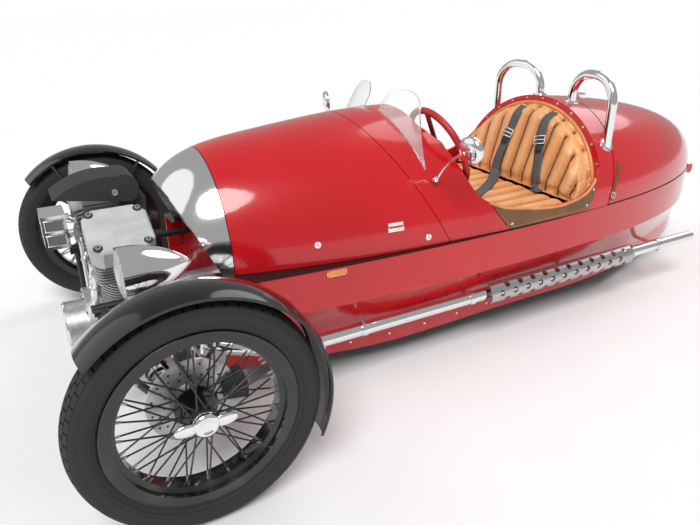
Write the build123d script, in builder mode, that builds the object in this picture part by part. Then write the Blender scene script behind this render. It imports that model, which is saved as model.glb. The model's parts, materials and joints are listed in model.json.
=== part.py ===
"""Three wheeled open sports car with an exposed V twin engine, two front wheels and one rear wheel.

Millimetres. +X is forward, +Y is the car's left, +Z is up. The origin is on the ground, under the
middle of the car. Left-hand pieces are modelled and the right-hand ones are their mirror images.
"""

from build123d import *

from functools import cache
import math
import os

# Overall sizes
OVERALL_LENGTH = 3225
WHEELBASE = 2440
HALF_TRACK = 795
NOSE_X = OVERALL_LENGTH / 2
TAIL_X = -OVERALL_LENGTH / 2
WALL_GAP = 0.5

# Front tyre and wire wheel
TYRE_RADIUS = 338
TYRE_HALF_WIDTH = 54
RIM_RADIUS = 257
RIM_BED_RADIUS = 233
RIM_WELL_RADIUS = 220
RIM_SHEET = 5
RIM_HALF_WIDTH = 44
SPOKE_RADIUS = 2.5
SPOKES_PER_ROW = 24
HUB_BARREL_RADIUS = 30
HUB_INNER_FLANGE_RADIUS = 60
HUB_OUTER_FLANGE_RADIUS = 40
HUB_INNER_Y = -40
HUB_OUTER_Y = 46
HUB_FLANGE = 8
SPOKE_INSET = 5
SPOKE_SINK = 3
SPINNER_ROUND = 8
TYRE_SHOULDER = 13
TREAD_INSET = 8
SPINNER_RADIUS = 36
SPINNER_DEPTH = 20
SPINNER_EAR_REACH = 84
SPINNER_EAR_WIDTH = 26
STUB_RADIUS = 17
RUNNING_FIT = 0.05
DISC_RADIUS = 125
DISC_BORE_RADIUS = 40
DISC_Y = -68
DISC_THICKNESS = 8
FRONT_AXLE_X = NOSE_X - TYRE_RADIUS

# Rear wheel and its arm
REAR_TYRE_RADIUS = 310
REAR_TYRE_HALF_WIDTH = 95
REAR_RIM_RADIUS = 200
REAR_RIM_HALF_WIDTH = 84
REAR_HUB_RADIUS = 42
REAR_HUB_HALF_WIDTH = 100
REAR_DISC_HALF = 8
REAR_RIM_SHEET = 6
REAR_RIM_DROP = 16
REAR_HOLE_RADIUS = 34
REAR_HOLE_CIRCLE = 110
REAR_HOLES = 6
REAR_AXLE_RADIUS = 14
REAR_AXLE_X = FRONT_AXLE_X - WHEELBASE
ARM_Y = 130
ARM_RADIUS = 16
ARM_PIVOT_X = -640
ARM_PIVOT_Z = 300
ARM_PIVOT_RADIUS = 22
ARM_PIVOT_HALF = 240
ARM_END_RADIUS = 20
ARM_LUG_Y = (180, 200)
BEVEL_BOX_LENGTH = 86
BEVEL_BOX_HALF = 90
BEVEL_BOX_Z = (165, 268)

# Body shell
SKIN = 8
SPLIT_Z = 478
SILL_Z = 95
SILL_FLANGE = 70
BELLY_Z = 330
TUCK_IN = 0.42
TUCK_UP = 0.55
SHELF_Z = 472
SHELF_WIDTH = 30
SHUT_GAP = 3
LID_GAP = 5
COWL_LIP_TOP_X = 1275
COWL_LIP_LOW_X = 1040
COWL_JOINT_X = 1005
GRILLE_SETBACK = 26
GRILLE_SHEET = 4
SCUTTLE_TOP_X = 434
SCUTTLE_LOW_X = 215
ARCH_X = -531
ARCH_LEAN = 0.214
ARCH_RIM = 24
ARCH_DEPTH = 16
LID_TOP_X = -735
LID_LOW_X = -605
SLAB_TOP_Z = 1000
SLAB_REACH = 600
ACROSS = (-600, 600)
FILLER_X = -834
FILLER_TOP_Z = 862
FILLER_RADIUS = 38

# Side view of the cockpit's edge and of the leather flap on it, from front to rear as x and z
COCKPIT_EDGE = ((208, 862), (135, 745), (79, 630), (-60, 566), (-290, 534), (-450, 553), (-566, 640))
FLAP_EDGE = ((34, 596), (-60, 564), (-290, 532), (-450, 551), (-530, 602))
FLAP_HEM = ((-503, 520), (-482, 489), (-71, 482), (-39, 500))

# Upper body sections: x, half width at the split, height of the crown
UPPER_SECTIONS = (
    (1185, 238, 690),
    (1110, 286, 780),
    (COWL_JOINT_X, 326, 832),
    (720, 392, 876),
    (430, 430, 902),
    (0, 455, 896),
    (-500, 452, 878),
    (-900, 412, 838),
    (-1250, 318, 768),
    (-1480, 196, 680),
    (TAIL_X + 4, 78, 585),
)
# Lower body sections: x, half width at the top, half width at the sill
LOWER_SECTIONS = (
    (1060, 400, 318),
    (650, 442, 366),
    (100, 464, 388),
    (-450, 456, 380),
    (-850, 420, 340),
    (-1250, 320, 232),
    (-1480, 198, 150),
    (TAIL_X, 80, 70),
)

# Floor, bulkheads and boot
FLOOR_Z = 118
FLOOR_SHEET = 6
BULKHEAD_X = 995
BULKHEAD_SHEET = 10
REAR_WALL_X = -548
REAR_WALL_NECK = 410
BOOT_FLOOR_Z = 332
BOOT_SHEET = 4
BOOT_REAR_X = -1500
ARCH_COVER_RADIUS = 335
ARCH_COVER_HALF = 118

# Cockpit
TUNNEL_HALF = 75
TUNNEL_TOP_Z = 320
TUNNEL_ROUND = 30
SEAT_FRONT_X = -40
SEAT_REAR_X = -466
SEAT_HALF = 382
SEAT_BASE_Z = 400
SEAT_TOP_Z = 496
SEAT_BACK_LOW = (-438, 505)
SEAT_BACK_HIGH = (-556, 845)
CUSHION_ROUND = 25
BELT_WIDTH = 48
BELT_SHEET = 3
# Top and bottom of each belt on the face of the seat back, as y and distance up the face
BELT_LINES = (((216, 268), (205, 12)), ((62, 318), (-82, 12)))
DASH_X = 227
DASH_SHEET = 12
DASH_LOW_Z = 640
GAUGES = ((20, 790, 42), (-110, 780, 42), (-210, 745, 28))
GAUGE_DEPTH = 14
FLAP_SHEET = 5
LEVER_X = 169
LEVER_LEAN = 29
LEVER_HEIGHT = 150
LEVER_RADIUS = 7
LEVER_BOOT_RADIUS = 30
KNOB_RADIUS = 22
PEDAL_YS = (135, 215, 295)
PEDAL_X = 720
PEDAL_PAD_Z = 262
PEDAL_PIVOT_Z = 340
PEDAL_RADIUS = 6

# Steering wheel and column
COLUMN_TILT = 22
STEER_X = 118
STEER_Y = 208
STEER_Z = 760
STEER_RADIUS = 165
STEER_RIM_RADIUS = 13
STEER_HUB_RADIUS = 38
STEER_HUB_DEPTH = 22
STEER_SPOKE_ANGLES = (30, 150, 270)
STEER_SPOKE_WIDTH = 28
STEER_SPOKE_SHEET = 5
COLUMN_RADIUS = 19
COLUMN_SHAFT_RADIUS = 10
COLUMN_START = 62
SHAFT_LENGTH = 240

# Front suspension and steering gear
KINGPIN_Y = HALF_TRACK - 110
BALL_LOW_Z = 225
BALL_HIGH_Z = 440
BALL_PIN_RADIUS = 10
BALL_EYE_RADIUS = 20
BALL_EYE_HALF = 12
UPRIGHT_HALF = 22
UPRIGHT_GAP = 3
LOWER_PIVOT_Y = 240
UPPER_PIVOT_Y = 265
PIVOT_LOW_Z = 235
WISHBONE_SPREAD = 150
WISHBONE_RADIUS = 12
BUSH_RADIUS = 14
BUSH_HALF = 22
RAIL_HALF = 15
RAIL_TUBE = 13
RAIL_FRONT_X = 1450
TOW_EYE_X = 1476
TOW_EYE_OUTER = 22
TOW_EYE_RADIUS = 12
TOW_EYE_SHEET = 12
STEER_ARM = 105
STEER_ARM_SHEET = 12
STEER_ARM_HALF = 14
STUB_BOSS_RADIUS = 34
CALIPER_ARM = 100
CALIPER_OUTER = 150
CALIPER_INNER = 82
CALIPER_HALF = 24
RACK_X = FRONT_AXLE_X - STEER_ARM
RACK_Z = 277
RACK_BAR_RADIUS = 12
RACK_CASE_RADIUS = 20
RACK_CASE_HALF = 170
RACK_BAR_HALF = 225
TRACK_ROD_RADIUS = 7
DAMPER_LOW = (1308, 560, 262)
DAMPER_HIGH = (1345, 300, 395)
DAMPER_ROD_RADIUS = 14
DAMPER_BRACKET_X = (1336, 1354)
DAMPER_BRACKET_Y = (262, 300)
DAMPER_BRACKET_Z = (380, 436)
SPRING_RADIUS = 30
SPRING_START = 60
SPRING_END = 250
ENGINE_MOUNT_X = (1300, 1350)
LAMP_ARM_Z = 536
LAMP_ARM_RADIUS = 11

# Guards over the front wheels
GUARD_RADIUS = 372
GUARD_HALF_WIDTH = 65
GUARD_CROWN = 14
GUARD_SHEET = 3
GUARD_LIP = 8
GUARD_FRONT_DEG = 44
GUARD_REAR_DEG = 206
STAY_RADIUS = 6
STAY_FOOT_Z = TYRE_RADIUS + 56
STAY_ANGLES = (64, 124)

# Engine, a V twin with its crankshaft along X
CRANK_Z = 262
ENGINE_X = 1326
CASE_RADIUS = 128
CASE_REAR_X = 1200
CASE_FRONT_X = 1450
COVER_FRONT_X = 1519
COVER_RADIUS = 92
CYLINDER_TILT = 28
BARREL_RADIUS = 60
FIN_RADIUS = 84
FIN_THICKNESS = 5
FIN_PITCH = 14
FIN_COUNT = 8
FIN_START = 176
HEAD_START = 290
HEAD_HEIGHT = 100
HEAD_LENGTH = 176
HEAD_WIDTH = 156
ROCKER_HEIGHT = 76
ROCKER_LENGTH = 196
ROCKER_WIDTH = 188
ROCKER_CORNER = 34
ROCKER_EDGE = 6
HEAD_INSET = 28
HEAD_ROUND = 20
AIRBOX_HALF = 70
# Side view of the airbox, as x and z: nose, two points of its back, tail and foot
AIRBOX_LINE = ((1488, 742), (1400, 785), (1290, 792), (1222, 745), (1250, 702))
DUCT_REAR = (1205, 650, 120, 120)
DUCT_FRONT = (1290, 655, 90, 92)
COOLER_X = (1450, 1530)
COOLER_Y = (-215, -95)
COOLER_Z = (520, 640)
COOLER_WINDOWS = ((535, 572), (588, 625))
COOLER_BORDER = 15
DRIVE_TUBE_RADIUS = 32
DRIVE_TUBE_Z = 345

# Exhausts
EXHAUST_RADIUS = 24
EXHAUST_WALL = 2.5
EXHAUST_Y = 440
EXHAUST_Z = 214
EXHAUST_END_X = -1240
SHIELD_RADIUS = 44
SHIELD_SHEET = 2
SHIELD_FRONT_X = 20
SHIELD_REAR_X = -790
SHIELD_COLUMNS = 11
SHIELD_HOLE_RADIUS = 13
SHIELD_ROWS = (52, 8, -36)
HANGER_XS = (780, 100, -420, -1000)
HANGER_HALF = 12
EXHAUST_PORT = 45
EXHAUST_ELBOW = 95
EXHAUST_BENDS = (55, 90, 220)
EXHAUST_DROP_X = 1120
EXHAUST_DROP_Z = 300
EXHAUST_RUN_X = 880

# Lamps, hoops, screens and mirrors
LAMP_X = 1378
LAMP_Y = 505
LAMP_Z = 640
LAMP_RADIUS = 78
LAMP_LENGTH = 200
LENS_DEPTH = 14
LAMP_BEZEL = 8
LAMP_RIM = 18
TAIL_LAMP_FRONT = (-1530, 60, 440)
TAIL_LAMP_REAR = (-1545, 175, 440)
TAIL_LAMP_RADIUS = 24
MARKER_CENTRE = (685, 460)
MARKER_SIZE = (70, 18)
LAMP_POST_X = 1235
LAMP_POST_Z = 556
HOOP_INNER = (-690, 98)
HOOP_OUTER = (-655, 352)
HOOP_TUBE = 19
HOOP_TOP_Z = 984
HOOP_FOOT_Z = 700
HOOP_BEND = 112
SCREEN_SHEET = 5
SCREEN_RADIUS = 410
SCREEN_LEAN = 0.62
SCREEN_BASE_Z = 700
SCREEN_FOOT = (319, 869)
SCREEN_Y = 60
SCREEN_OUTLINE = ((30, 700), (62, 985), (215, 985), (372, 700))
SCREEN_CORNERS = (60, 90)
MIRROR_HEAD = (231, 537, 840)
MIRROR_FOOT = (262, 396, 700)
MIRROR_RADIUS = 48
MIRROR_HALF = 12
MIRROR_STALK = 5
MIRROR_FACING = (-1, -0.25, 0.05)


def keep(part, name):
    """Label a finished piece and write it as its own node."""
    part.label = name
    export_step(part, f"parts/{name}.step")


def keep_pair(part, name):
    """Write a left-hand piece and its mirror image as two nodes."""
    keep(part, f"{name}_left")
    keep(mirror(part, about=Plane.XZ), f"{name}_right")


def keep_both(part, name):
    """Write a left-hand piece and its mirror image as two solids in one node."""
    keep(Compound(children=[*part.solids(), *mirror(part, about=Plane.XZ).solids()]), name)


def bar(start, end, radius, bore=0, mode=Mode.ADD):
    """Add or cut a round bar or tube between two points."""
    run = Vector(end) - Vector(start)
    with BuildSketch(Plane(origin=start, z_dir=run)) as section:
        Circle(radius)
        if bore:
            Circle(bore, mode=Mode.SUBTRACT)
    extrude(section.sketch, amount=run.length, mode=mode)


def block(x_range, y_range, z_range, mode=Mode.ADD):
    """Add or cut a block given by its two ends along each axis."""
    middle = [(low + high) / 2 for low, high in (x_range, y_range, z_range)]
    size = [high - low for low, high in (x_range, y_range, z_range)]
    with Locations(tuple(middle)):
        Box(*size, mode=mode)


def axle_plane(x, y, z, degrees=90):
    """A plane through a wheel's centre: local x runs along the axle and local y points outwards."""
    angle = math.radians(degrees)
    return Plane(origin=(x, y, z), x_dir=(0, 1, 0), z_dir=(math.sin(angle), 0, -math.cos(angle)))


def on_wheel(degrees, radius, y):
    """A point of the left front wheel by its angle, radius and distance from the wheel's middle."""
    angle = math.radians(degrees)
    return (
        FRONT_AXLE_X + radius * math.cos(angle),
        HALF_TRACK + y,
        TYRE_RADIUS + radius * math.sin(angle),
    )


@cache
def upper_form(inset):
    """The closed upper body, from the nose to the tail, set in by the skin's thickness."""
    with BuildPart() as form:
        for x, half_width, crown in UPPER_SECTIONS:
            end_pull = inset if x < TAIL_X + 10 else 0
            with BuildSketch(Plane.YZ.offset(x + end_pull)):
                with BuildLine():
                    height = crown - SPLIT_Z - inset
                    EllipticalCenterArc((0, SPLIT_Z), half_width - inset, height, 0, arc_size=180)
                    Line((inset - half_width, SPLIT_Z), (half_width - inset, SPLIT_Z))
                make_face()
        loft()
    return form.part


@cache
def lower_form(inset, base, top):
    """The closed lower body between two levels, with its tucked-in flanks and sill flange."""
    knee = SILL_Z + SILL_FLANGE
    with BuildPart() as form:
        for x, wide, sill in LOWER_SECTIONS:
            end_pull = inset if x == TAIL_X else 0
            w, s = wide - inset, sill - inset
            middle = (s + (w - s) * TUCK_IN, knee + (BELLY_Z - knee) * TUCK_UP)
            with BuildSketch(Plane.YZ.offset(x + end_pull)):
                with BuildLine():
                    for side in (1, -1):
                        Line((side * s, base), (side * s, knee))
                        through = (side * middle[0], middle[1])
                        ThreePointArc((side * s, knee), through, (side * w, BELLY_Z))
                        Line((side * w, BELLY_Z), (side * w, top))
                    Line((-s, base), (s, base))
                    Line((-w, top), (w, top))
                make_face()
        loft()
    return form.part


def slab(front_top, front_low, rear_top, rear_low, low_z=SPLIT_Z):
    """A block across the whole car between two leaning cuts, each given by its top and low x."""
    with BuildPart() as cut:
        with BuildSketch(Plane.XZ):
            with BuildLine():
                Polyline(
                    (front_low, low_z),
                    (front_top, SLAB_TOP_Z),
                    (rear_top, SLAB_TOP_Z),
                    (rear_low, low_z),
                    close=True,
                )
            make_face()
        extrude(amount=SLAB_REACH, both=True)
    return cut.part


def lean(top_x, low_x, z, crown=870):
    """The x of a leaning cut at height z, from its x at the crown and at the split."""
    return low_x + (top_x - low_x) * (z - SPLIT_Z) / (crown - SPLIT_Z)


def arch_x(z):
    """The x of the leaning arch behind the seats at a height."""
    return ARCH_X - ARCH_LEAN * (z - SPLIT_Z)


def arch_slab(front_shift, rear_shift, low_z=SPLIT_Z):
    """A leaning block parallel to the arch, between two distances ahead of it."""
    top, low = arch_x(SLAB_TOP_Z), arch_x(low_z)
    return slab(top + front_shift, low + front_shift, top + rear_shift, low + rear_shift, low_z)


def cockpit_cutter():
    """The side view of the cockpit opening, carried across the car."""
    with BuildPart() as opening:
        with BuildSketch(Plane.XZ):
            with BuildLine() as edge:
                Spline(*COCKPIT_EDGE)
                front, rear = edge.line @ 0, edge.line @ 1
                Line((rear.X, rear.Y), (arch_x(SLAB_TOP_Z), SLAB_TOP_Z))
                Line((arch_x(SLAB_TOP_Z), SLAB_TOP_Z), (front.X, SLAB_TOP_Z))
                Line((front.X, SLAB_TOP_Z), (front.X, front.Y))
            make_face()
        extrude(amount=SLAB_REACH, both=True)
    return opening.part


def make_upper_body():
    """Nose cowl, bonnet, cockpit surround and tail lid, parted from one shell at the real joints."""
    outer = upper_form(0)
    with BuildPart() as shell:
        add(outer)
        add(upper_form(SKIN), mode=Mode.SUBTRACT)
    half_gap = SHUT_GAP / 2
    scuttle_top = lean(SCUTTLE_TOP_X, SCUTTLE_LOW_X, SLAB_TOP_Z)
    lid_top = lean(LID_TOP_X, LID_LOW_X, SLAB_TOP_Z)
    lid_front_low = lean(LID_TOP_X, LID_LOW_X, SPLIT_Z + LID_GAP)
    behind_tail = TAIL_X - 50

    with BuildPart() as cowl:
        add(shell.part)
        add(slab(COWL_LIP_TOP_X, COWL_LIP_LOW_X, COWL_JOINT_X, COWL_JOINT_X), mode=Mode.INTERSECT)
    keep(cowl.part, "nose_cowl")

    bonnet_front = COWL_JOINT_X - SHUT_GAP
    with BuildPart() as bonnet:
        add(shell.part)
        add(
            slab(bonnet_front, bonnet_front, scuttle_top + half_gap, SCUTTLE_LOW_X + half_gap),
            mode=Mode.INTERSECT,
        )
    keep(bonnet.part, "bonnet")

    with BuildPart() as rim:
        add(outer)
        add(upper_form(SKIN + ARCH_RIM), mode=Mode.SUBTRACT)
        add(arch_slab(0, -ARCH_DEPTH), mode=Mode.INTERSECT)
    with BuildPart() as surround:
        add(shell.part)
        add(
            slab(scuttle_top - half_gap, SCUTTLE_LOW_X - half_gap, lid_top + half_gap, LID_LOW_X + half_gap),
            mode=Mode.INTERSECT,
        )
        add(cockpit_cutter(), mode=Mode.SUBTRACT)
        add(rim.part)
    keep(surround.part, "cockpit_surround")

    lid_low_z = SPLIT_Z + LID_GAP
    with BuildPart() as lid:
        add(shell.part)
        add(
            slab(lid_top - LID_GAP, lid_front_low - LID_GAP, behind_tail, behind_tail, lid_low_z),
            mode=Mode.INTERSECT,
        )
    keep(lid.part, "tail_lid")

    setback_top = COWL_LIP_TOP_X - GRILLE_SETBACK
    setback_low = COWL_LIP_LOW_X - GRILLE_SETBACK
    with BuildPart() as grille:
        add(upper_form(SKIN + WALL_GAP))
        add(
            slab(setback_top, setback_low, setback_top - GRILLE_SHEET, setback_low - GRILLE_SHEET),
            mode=Mode.INTERSECT,
        )
    keep(grille.part, "grille")

    with BuildPart() as flaps:
        add(upper_form(-FLAP_SHEET))
        add(outer, mode=Mode.SUBTRACT)
        with BuildSketch(Plane.XZ):
            with BuildLine() as outline:
                Spline(*FLAP_EDGE)
                front, rear = outline.line @ 0, outline.line @ 1
                Polyline((rear.X, rear.Y), *FLAP_HEM, (front.X, front.Y))
            make_face()
        extrude(amount=SLAB_REACH, both=True, mode=Mode.INTERSECT)
    keep(flaps.part, "cockpit_flaps")

    with BuildPart() as cap:
        bar((FILLER_X, 0, FILLER_TOP_Z - 62), (FILLER_X, 0, FILLER_TOP_Z), FILLER_RADIUS)
        add(outer, mode=Mode.SUBTRACT)
    keep(cap.part, "filler_cap")


def make_lower_body():
    """The tub: two flanks joined round the tail, open below, with a shelf that the upper panels sit on."""
    shelf_line = [(x, half_width - SHELF_WIDTH) for x, half_width, crown in UPPER_SECTIONS]
    with BuildPart() as shelf:
        add(lower_form(0, SILL_Z, SPLIT_Z))
        block((TAIL_X - 50, NOSE_X), ACROSS, (0, SHELF_Z), mode=Mode.SUBTRACT)
        with BuildSketch(Plane.XY.offset(SHELF_Z)):
            with BuildLine():
                Polyline(*shelf_line, *[(x, -y) for x, y in reversed(shelf_line)], close=True)
            make_face()
        extrude(amount=SPLIT_Z - SHELF_Z, mode=Mode.SUBTRACT)
    with BuildPart() as tub:
        add(lower_form(0, SILL_Z, SPLIT_Z))
        add(lower_form(SKIN, SILL_Z - 5, SPLIT_Z + 5), mode=Mode.SUBTRACT)
        add(shelf.part)
    keep(tub.part, "lower_body")


def make_floor():
    """Floor pan, the two bulkheads, and the boot floor with its cover over the rear wheel."""
    inside = lower_form(SKIN + WALL_GAP, SILL_Z - 5, SPLIT_Z)
    wall_top = SHELF_Z - WALL_GAP
    above_split = SPLIT_Z + WALL_GAP
    rear_face = REAR_WALL_X - BULKHEAD_SHEET
    with BuildPart() as pan:
        block((REAR_WALL_X, BULKHEAD_X - BULKHEAD_SHEET), ACROSS, (FLOOR_Z, FLOOR_Z + FLOOR_SHEET))
        add(inside, mode=Mode.INTERSECT)
    keep(pan.part, "floor_pan")

    with BuildPart() as front_wall:
        block((BULKHEAD_X - BULKHEAD_SHEET, BULKHEAD_X), ACROSS, (FLOOR_Z, wall_top))
        add(inside, mode=Mode.INTERSECT)
    keep(front_wall.part, "front_bulkhead")

    front_shift = REAR_WALL_X - ARCH_X
    with BuildPart() as upper_wall:
        add(arch_slab(front_shift, front_shift - BULKHEAD_SHEET, above_split))
        add(upper_form(SKIN + WALL_GAP), mode=Mode.INTERSECT)
    with BuildPart() as rear_wall:
        block((rear_face, REAR_WALL_X), ACROSS, (FLOOR_Z, wall_top))
        add(inside, mode=Mode.INTERSECT)
        block((rear_face, REAR_WALL_X), (-REAR_WALL_NECK, REAR_WALL_NECK), (wall_top, above_split))
        add(upper_wall.part)
    keep(rear_wall.part, "rear_bulkhead")

    with BuildPart() as boot:
        block((BOOT_REAR_X, rear_face), ACROSS, (BOOT_FLOOR_Z, BOOT_FLOOR_Z + BOOT_SHEET))
        add(inside, mode=Mode.INTERSECT)
        with BuildSketch(Plane.XZ):
            with Locations((REAR_AXLE_X, REAR_TYRE_RADIUS)):
                Circle(ARCH_COVER_RADIUS + BOOT_SHEET)
        extrude(amount=ARCH_COVER_HALF + BOOT_SHEET, both=True)
        with BuildSketch(Plane.XZ):
            with Locations((REAR_AXLE_X, REAR_TYRE_RADIUS)):
                Circle(ARCH_COVER_RADIUS)
        extrude(amount=ARCH_COVER_HALF, both=True, mode=Mode.SUBTRACT)
        block((TAIL_X - 50, 0), ACROSS, (-100, BOOT_FLOOR_Z), mode=Mode.SUBTRACT)
    keep(boot.part, "boot_floor")


def make_cockpit():
    """Seat, belts, tunnel, levers, pedals and dashboard."""
    inside = lower_form(SKIN + WALL_GAP, SILL_Z - 5, SPLIT_Z)
    floor_top = FLOOR_Z + FLOOR_SHEET
    with BuildPart() as tunnel:
        across = (-TUNNEL_HALF, TUNNEL_HALF)
        block((SEAT_FRONT_X, BULKHEAD_X - BULKHEAD_SHEET), across, (floor_top, TUNNEL_TOP_Z))
        fillet(tunnel.edges().filter_by(Axis.X).group_by(Axis.Z)[-1], TUNNEL_ROUND)
    keep(tunnel.part, "transmission_tunnel")

    with BuildPart() as base:
        block((REAR_WALL_X, SEAT_FRONT_X), (-SEAT_HALF, SEAT_HALF), (floor_top, SEAT_BASE_Z))
        add(inside, mode=Mode.INTERSECT)
    keep(base.part, "seat_box")

    with BuildPart() as cushion:
        block((SEAT_REAR_X, SEAT_FRONT_X), (-SEAT_HALF, SEAT_HALF), (SEAT_BASE_Z, SEAT_TOP_Z))
        fillet(cushion.edges().group_by(Axis.Z)[-1], CUSHION_ROUND)
    keep(cushion.part, "seat_cushion")

    low_x, low_z = SEAT_BACK_LOW
    high_x, high_z = SEAT_BACK_HIGH
    wall_shift = REAR_WALL_X - ARCH_X + WALL_GAP
    with BuildPart() as back:
        with BuildSketch(Plane.XZ):
            with BuildLine():
                Polyline(
                    SEAT_BACK_LOW,
                    SEAT_BACK_HIGH,
                    (arch_x(high_z) + wall_shift, high_z),
                    (arch_x(low_z) + wall_shift, low_z),
                    close=True,
                )
            make_face()
        extrude(amount=SLAB_REACH, both=True)
        add(upper_form(SKIN + ARCH_RIM + WALL_GAP * 4), mode=Mode.INTERSECT)
    keep(back.part, "seat_back")

    rise = Vector(high_x - low_x, 0, high_z - low_z)
    front_face = Plane(origin=(low_x, 0, low_z), x_dir=(0, 1, 0), z_dir=(rise.Z, 0, -rise.X))
    with BuildPart() as belts:
        for top, bottom in BELT_LINES:
            way = math.atan2(top[1] - bottom[1], top[0] - bottom[0])
            side = (math.sin(way) * BELT_WIDTH / 2, -math.cos(way) * BELT_WIDTH / 2)
            with BuildSketch(front_face.offset(WALL_GAP)):
                with BuildLine():
                    Polyline(
                        (top[0] + side[0], top[1] + side[1]),
                        (top[0] - side[0], top[1] - side[1]),
                        (bottom[0] - side[0], bottom[1] - side[1]),
                        (bottom[0] + side[0], bottom[1] + side[1]),
                        close=True,
                    )
                make_face()
            extrude(amount=BELT_SHEET)
    keep(belts.part, "seat_belts")

    with BuildPart() as levers:
        tip_x, tip_z = LEVER_X - LEVER_LEAN, TUNNEL_TOP_Z + LEVER_HEIGHT
        bar((LEVER_X, 0, TUNNEL_TOP_Z + 6), (tip_x, 0, tip_z), LEVER_RADIUS)
        with Locations((tip_x, 0, tip_z + KNOB_RADIUS - 6)):
            Sphere(KNOB_RADIUS)
        bar((LEVER_X, 0, TUNNEL_TOP_Z), (LEVER_X, 0, TUNNEL_TOP_Z + 14), LEVER_BOOT_RADIUS)
    keep(levers.part, "gear_lever")

    wall_face = BULKHEAD_X - BULKHEAD_SHEET
    with BuildPart() as pedals:
        for y in PEDAL_YS:
            bar((wall_face - 4, y, PEDAL_PIVOT_Z), (PEDAL_X, y, PEDAL_PAD_Z), PEDAL_RADIUS)
            block((wall_face - 8, wall_face), (y - 20, y + 20), (PEDAL_PIVOT_Z - 20, PEDAL_PIVOT_Z + 20))
            block((PEDAL_X - 12, PEDAL_X + 2), (y - 26, y + 26), (PEDAL_PAD_Z - 40, PEDAL_PAD_Z + 30))
    keep(pedals.part, "pedals")

    dash_face = DASH_X - DASH_SHEET
    with BuildPart() as dash:
        block((dash_face, DASH_X), ACROSS, (DASH_LOW_Z, SLAB_TOP_Z))
        add(upper_form(SKIN + WALL_GAP), mode=Mode.INTERSECT)
        add(column_form(COLUMN_RADIUS), mode=Mode.SUBTRACT)
    keep(dash.part, "dashboard")

    with BuildPart() as gauges:
        for y, z, radius in GAUGES:
            bar((dash_face, y, z), (dash_face - GAUGE_DEPTH, y, z), radius)
    keep(gauges.part, "gauges")


def column_way():
    """The steering column's direction, forwards and down."""
    tilt = math.radians(COLUMN_TILT)
    return Vector(math.cos(tilt), 0, -math.sin(tilt))


def column_form(radius, bore=0):
    """The column as a bar or tube from behind the dashboard to the front bulkhead."""
    hub = Vector(STEER_X, STEER_Y, STEER_Z)
    with BuildPart() as column:
        bar(hub + column_way() * COLUMN_START, hub + column_way() * 1000, radius, bore)
        split(bisect_by=Plane.YZ.offset(BULKHEAD_X - BULKHEAD_SHEET), keep=Keep.BOTTOM)
    return column.part


def make_steering():
    """Steering wheel with its shaft, the fixed column, and the rack with its track rods."""
    keep(column_form(COLUMN_RADIUS, COLUMN_SHAFT_RADIUS + RUNNING_FIT), "steering_column")

    hub = Vector(STEER_X, STEER_Y, STEER_Z)
    wheel_plane = Plane(origin=hub, x_dir=(0, 1, 0), z_dir=column_way() * -1)
    with BuildPart(wheel_plane) as wheel:
        Torus(STEER_RADIUS, STEER_RIM_RADIUS)
        Cylinder(STEER_HUB_RADIUS, STEER_HUB_DEPTH)
        for angle in STEER_SPOKE_ANGLES:
            with PolarLocations((STEER_RADIUS + STEER_HUB_RADIUS) / 2, 1, angle):
                Box(STEER_RADIUS - STEER_HUB_RADIUS + 8, STEER_SPOKE_WIDTH, STEER_SPOKE_SHEET)
        bar(hub, hub + column_way() * SHAFT_LENGTH, COLUMN_SHAFT_RADIUS)
    keep(wheel.part, "steering_wheel")

    with BuildPart() as rack:
        bar((RACK_X, -RACK_BAR_HALF, RACK_Z), (RACK_X, RACK_BAR_HALF, RACK_Z), RACK_BAR_RADIUS)
        rod_end = KINGPIN_Y + TRACK_ROD_RADIUS
        bar((RACK_X, -rod_end, RACK_Z), (RACK_X, rod_end, RACK_Z), TRACK_ROD_RADIUS)
    keep(rack.part, "steering_rack")


def crank_form(radius, rear_x, front_x):
    """A round case about the crankshaft."""
    with BuildPart() as case:
        bar((rear_x, 0, CRANK_Z), (front_x, 0, CRANK_Z), radius)
    return case.part


def flank_pair(piece):
    """A left-hand piece's solids and their mirror images."""
    return [*piece.solids(), *mirror(piece, about=Plane.XZ).solids()]


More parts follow.
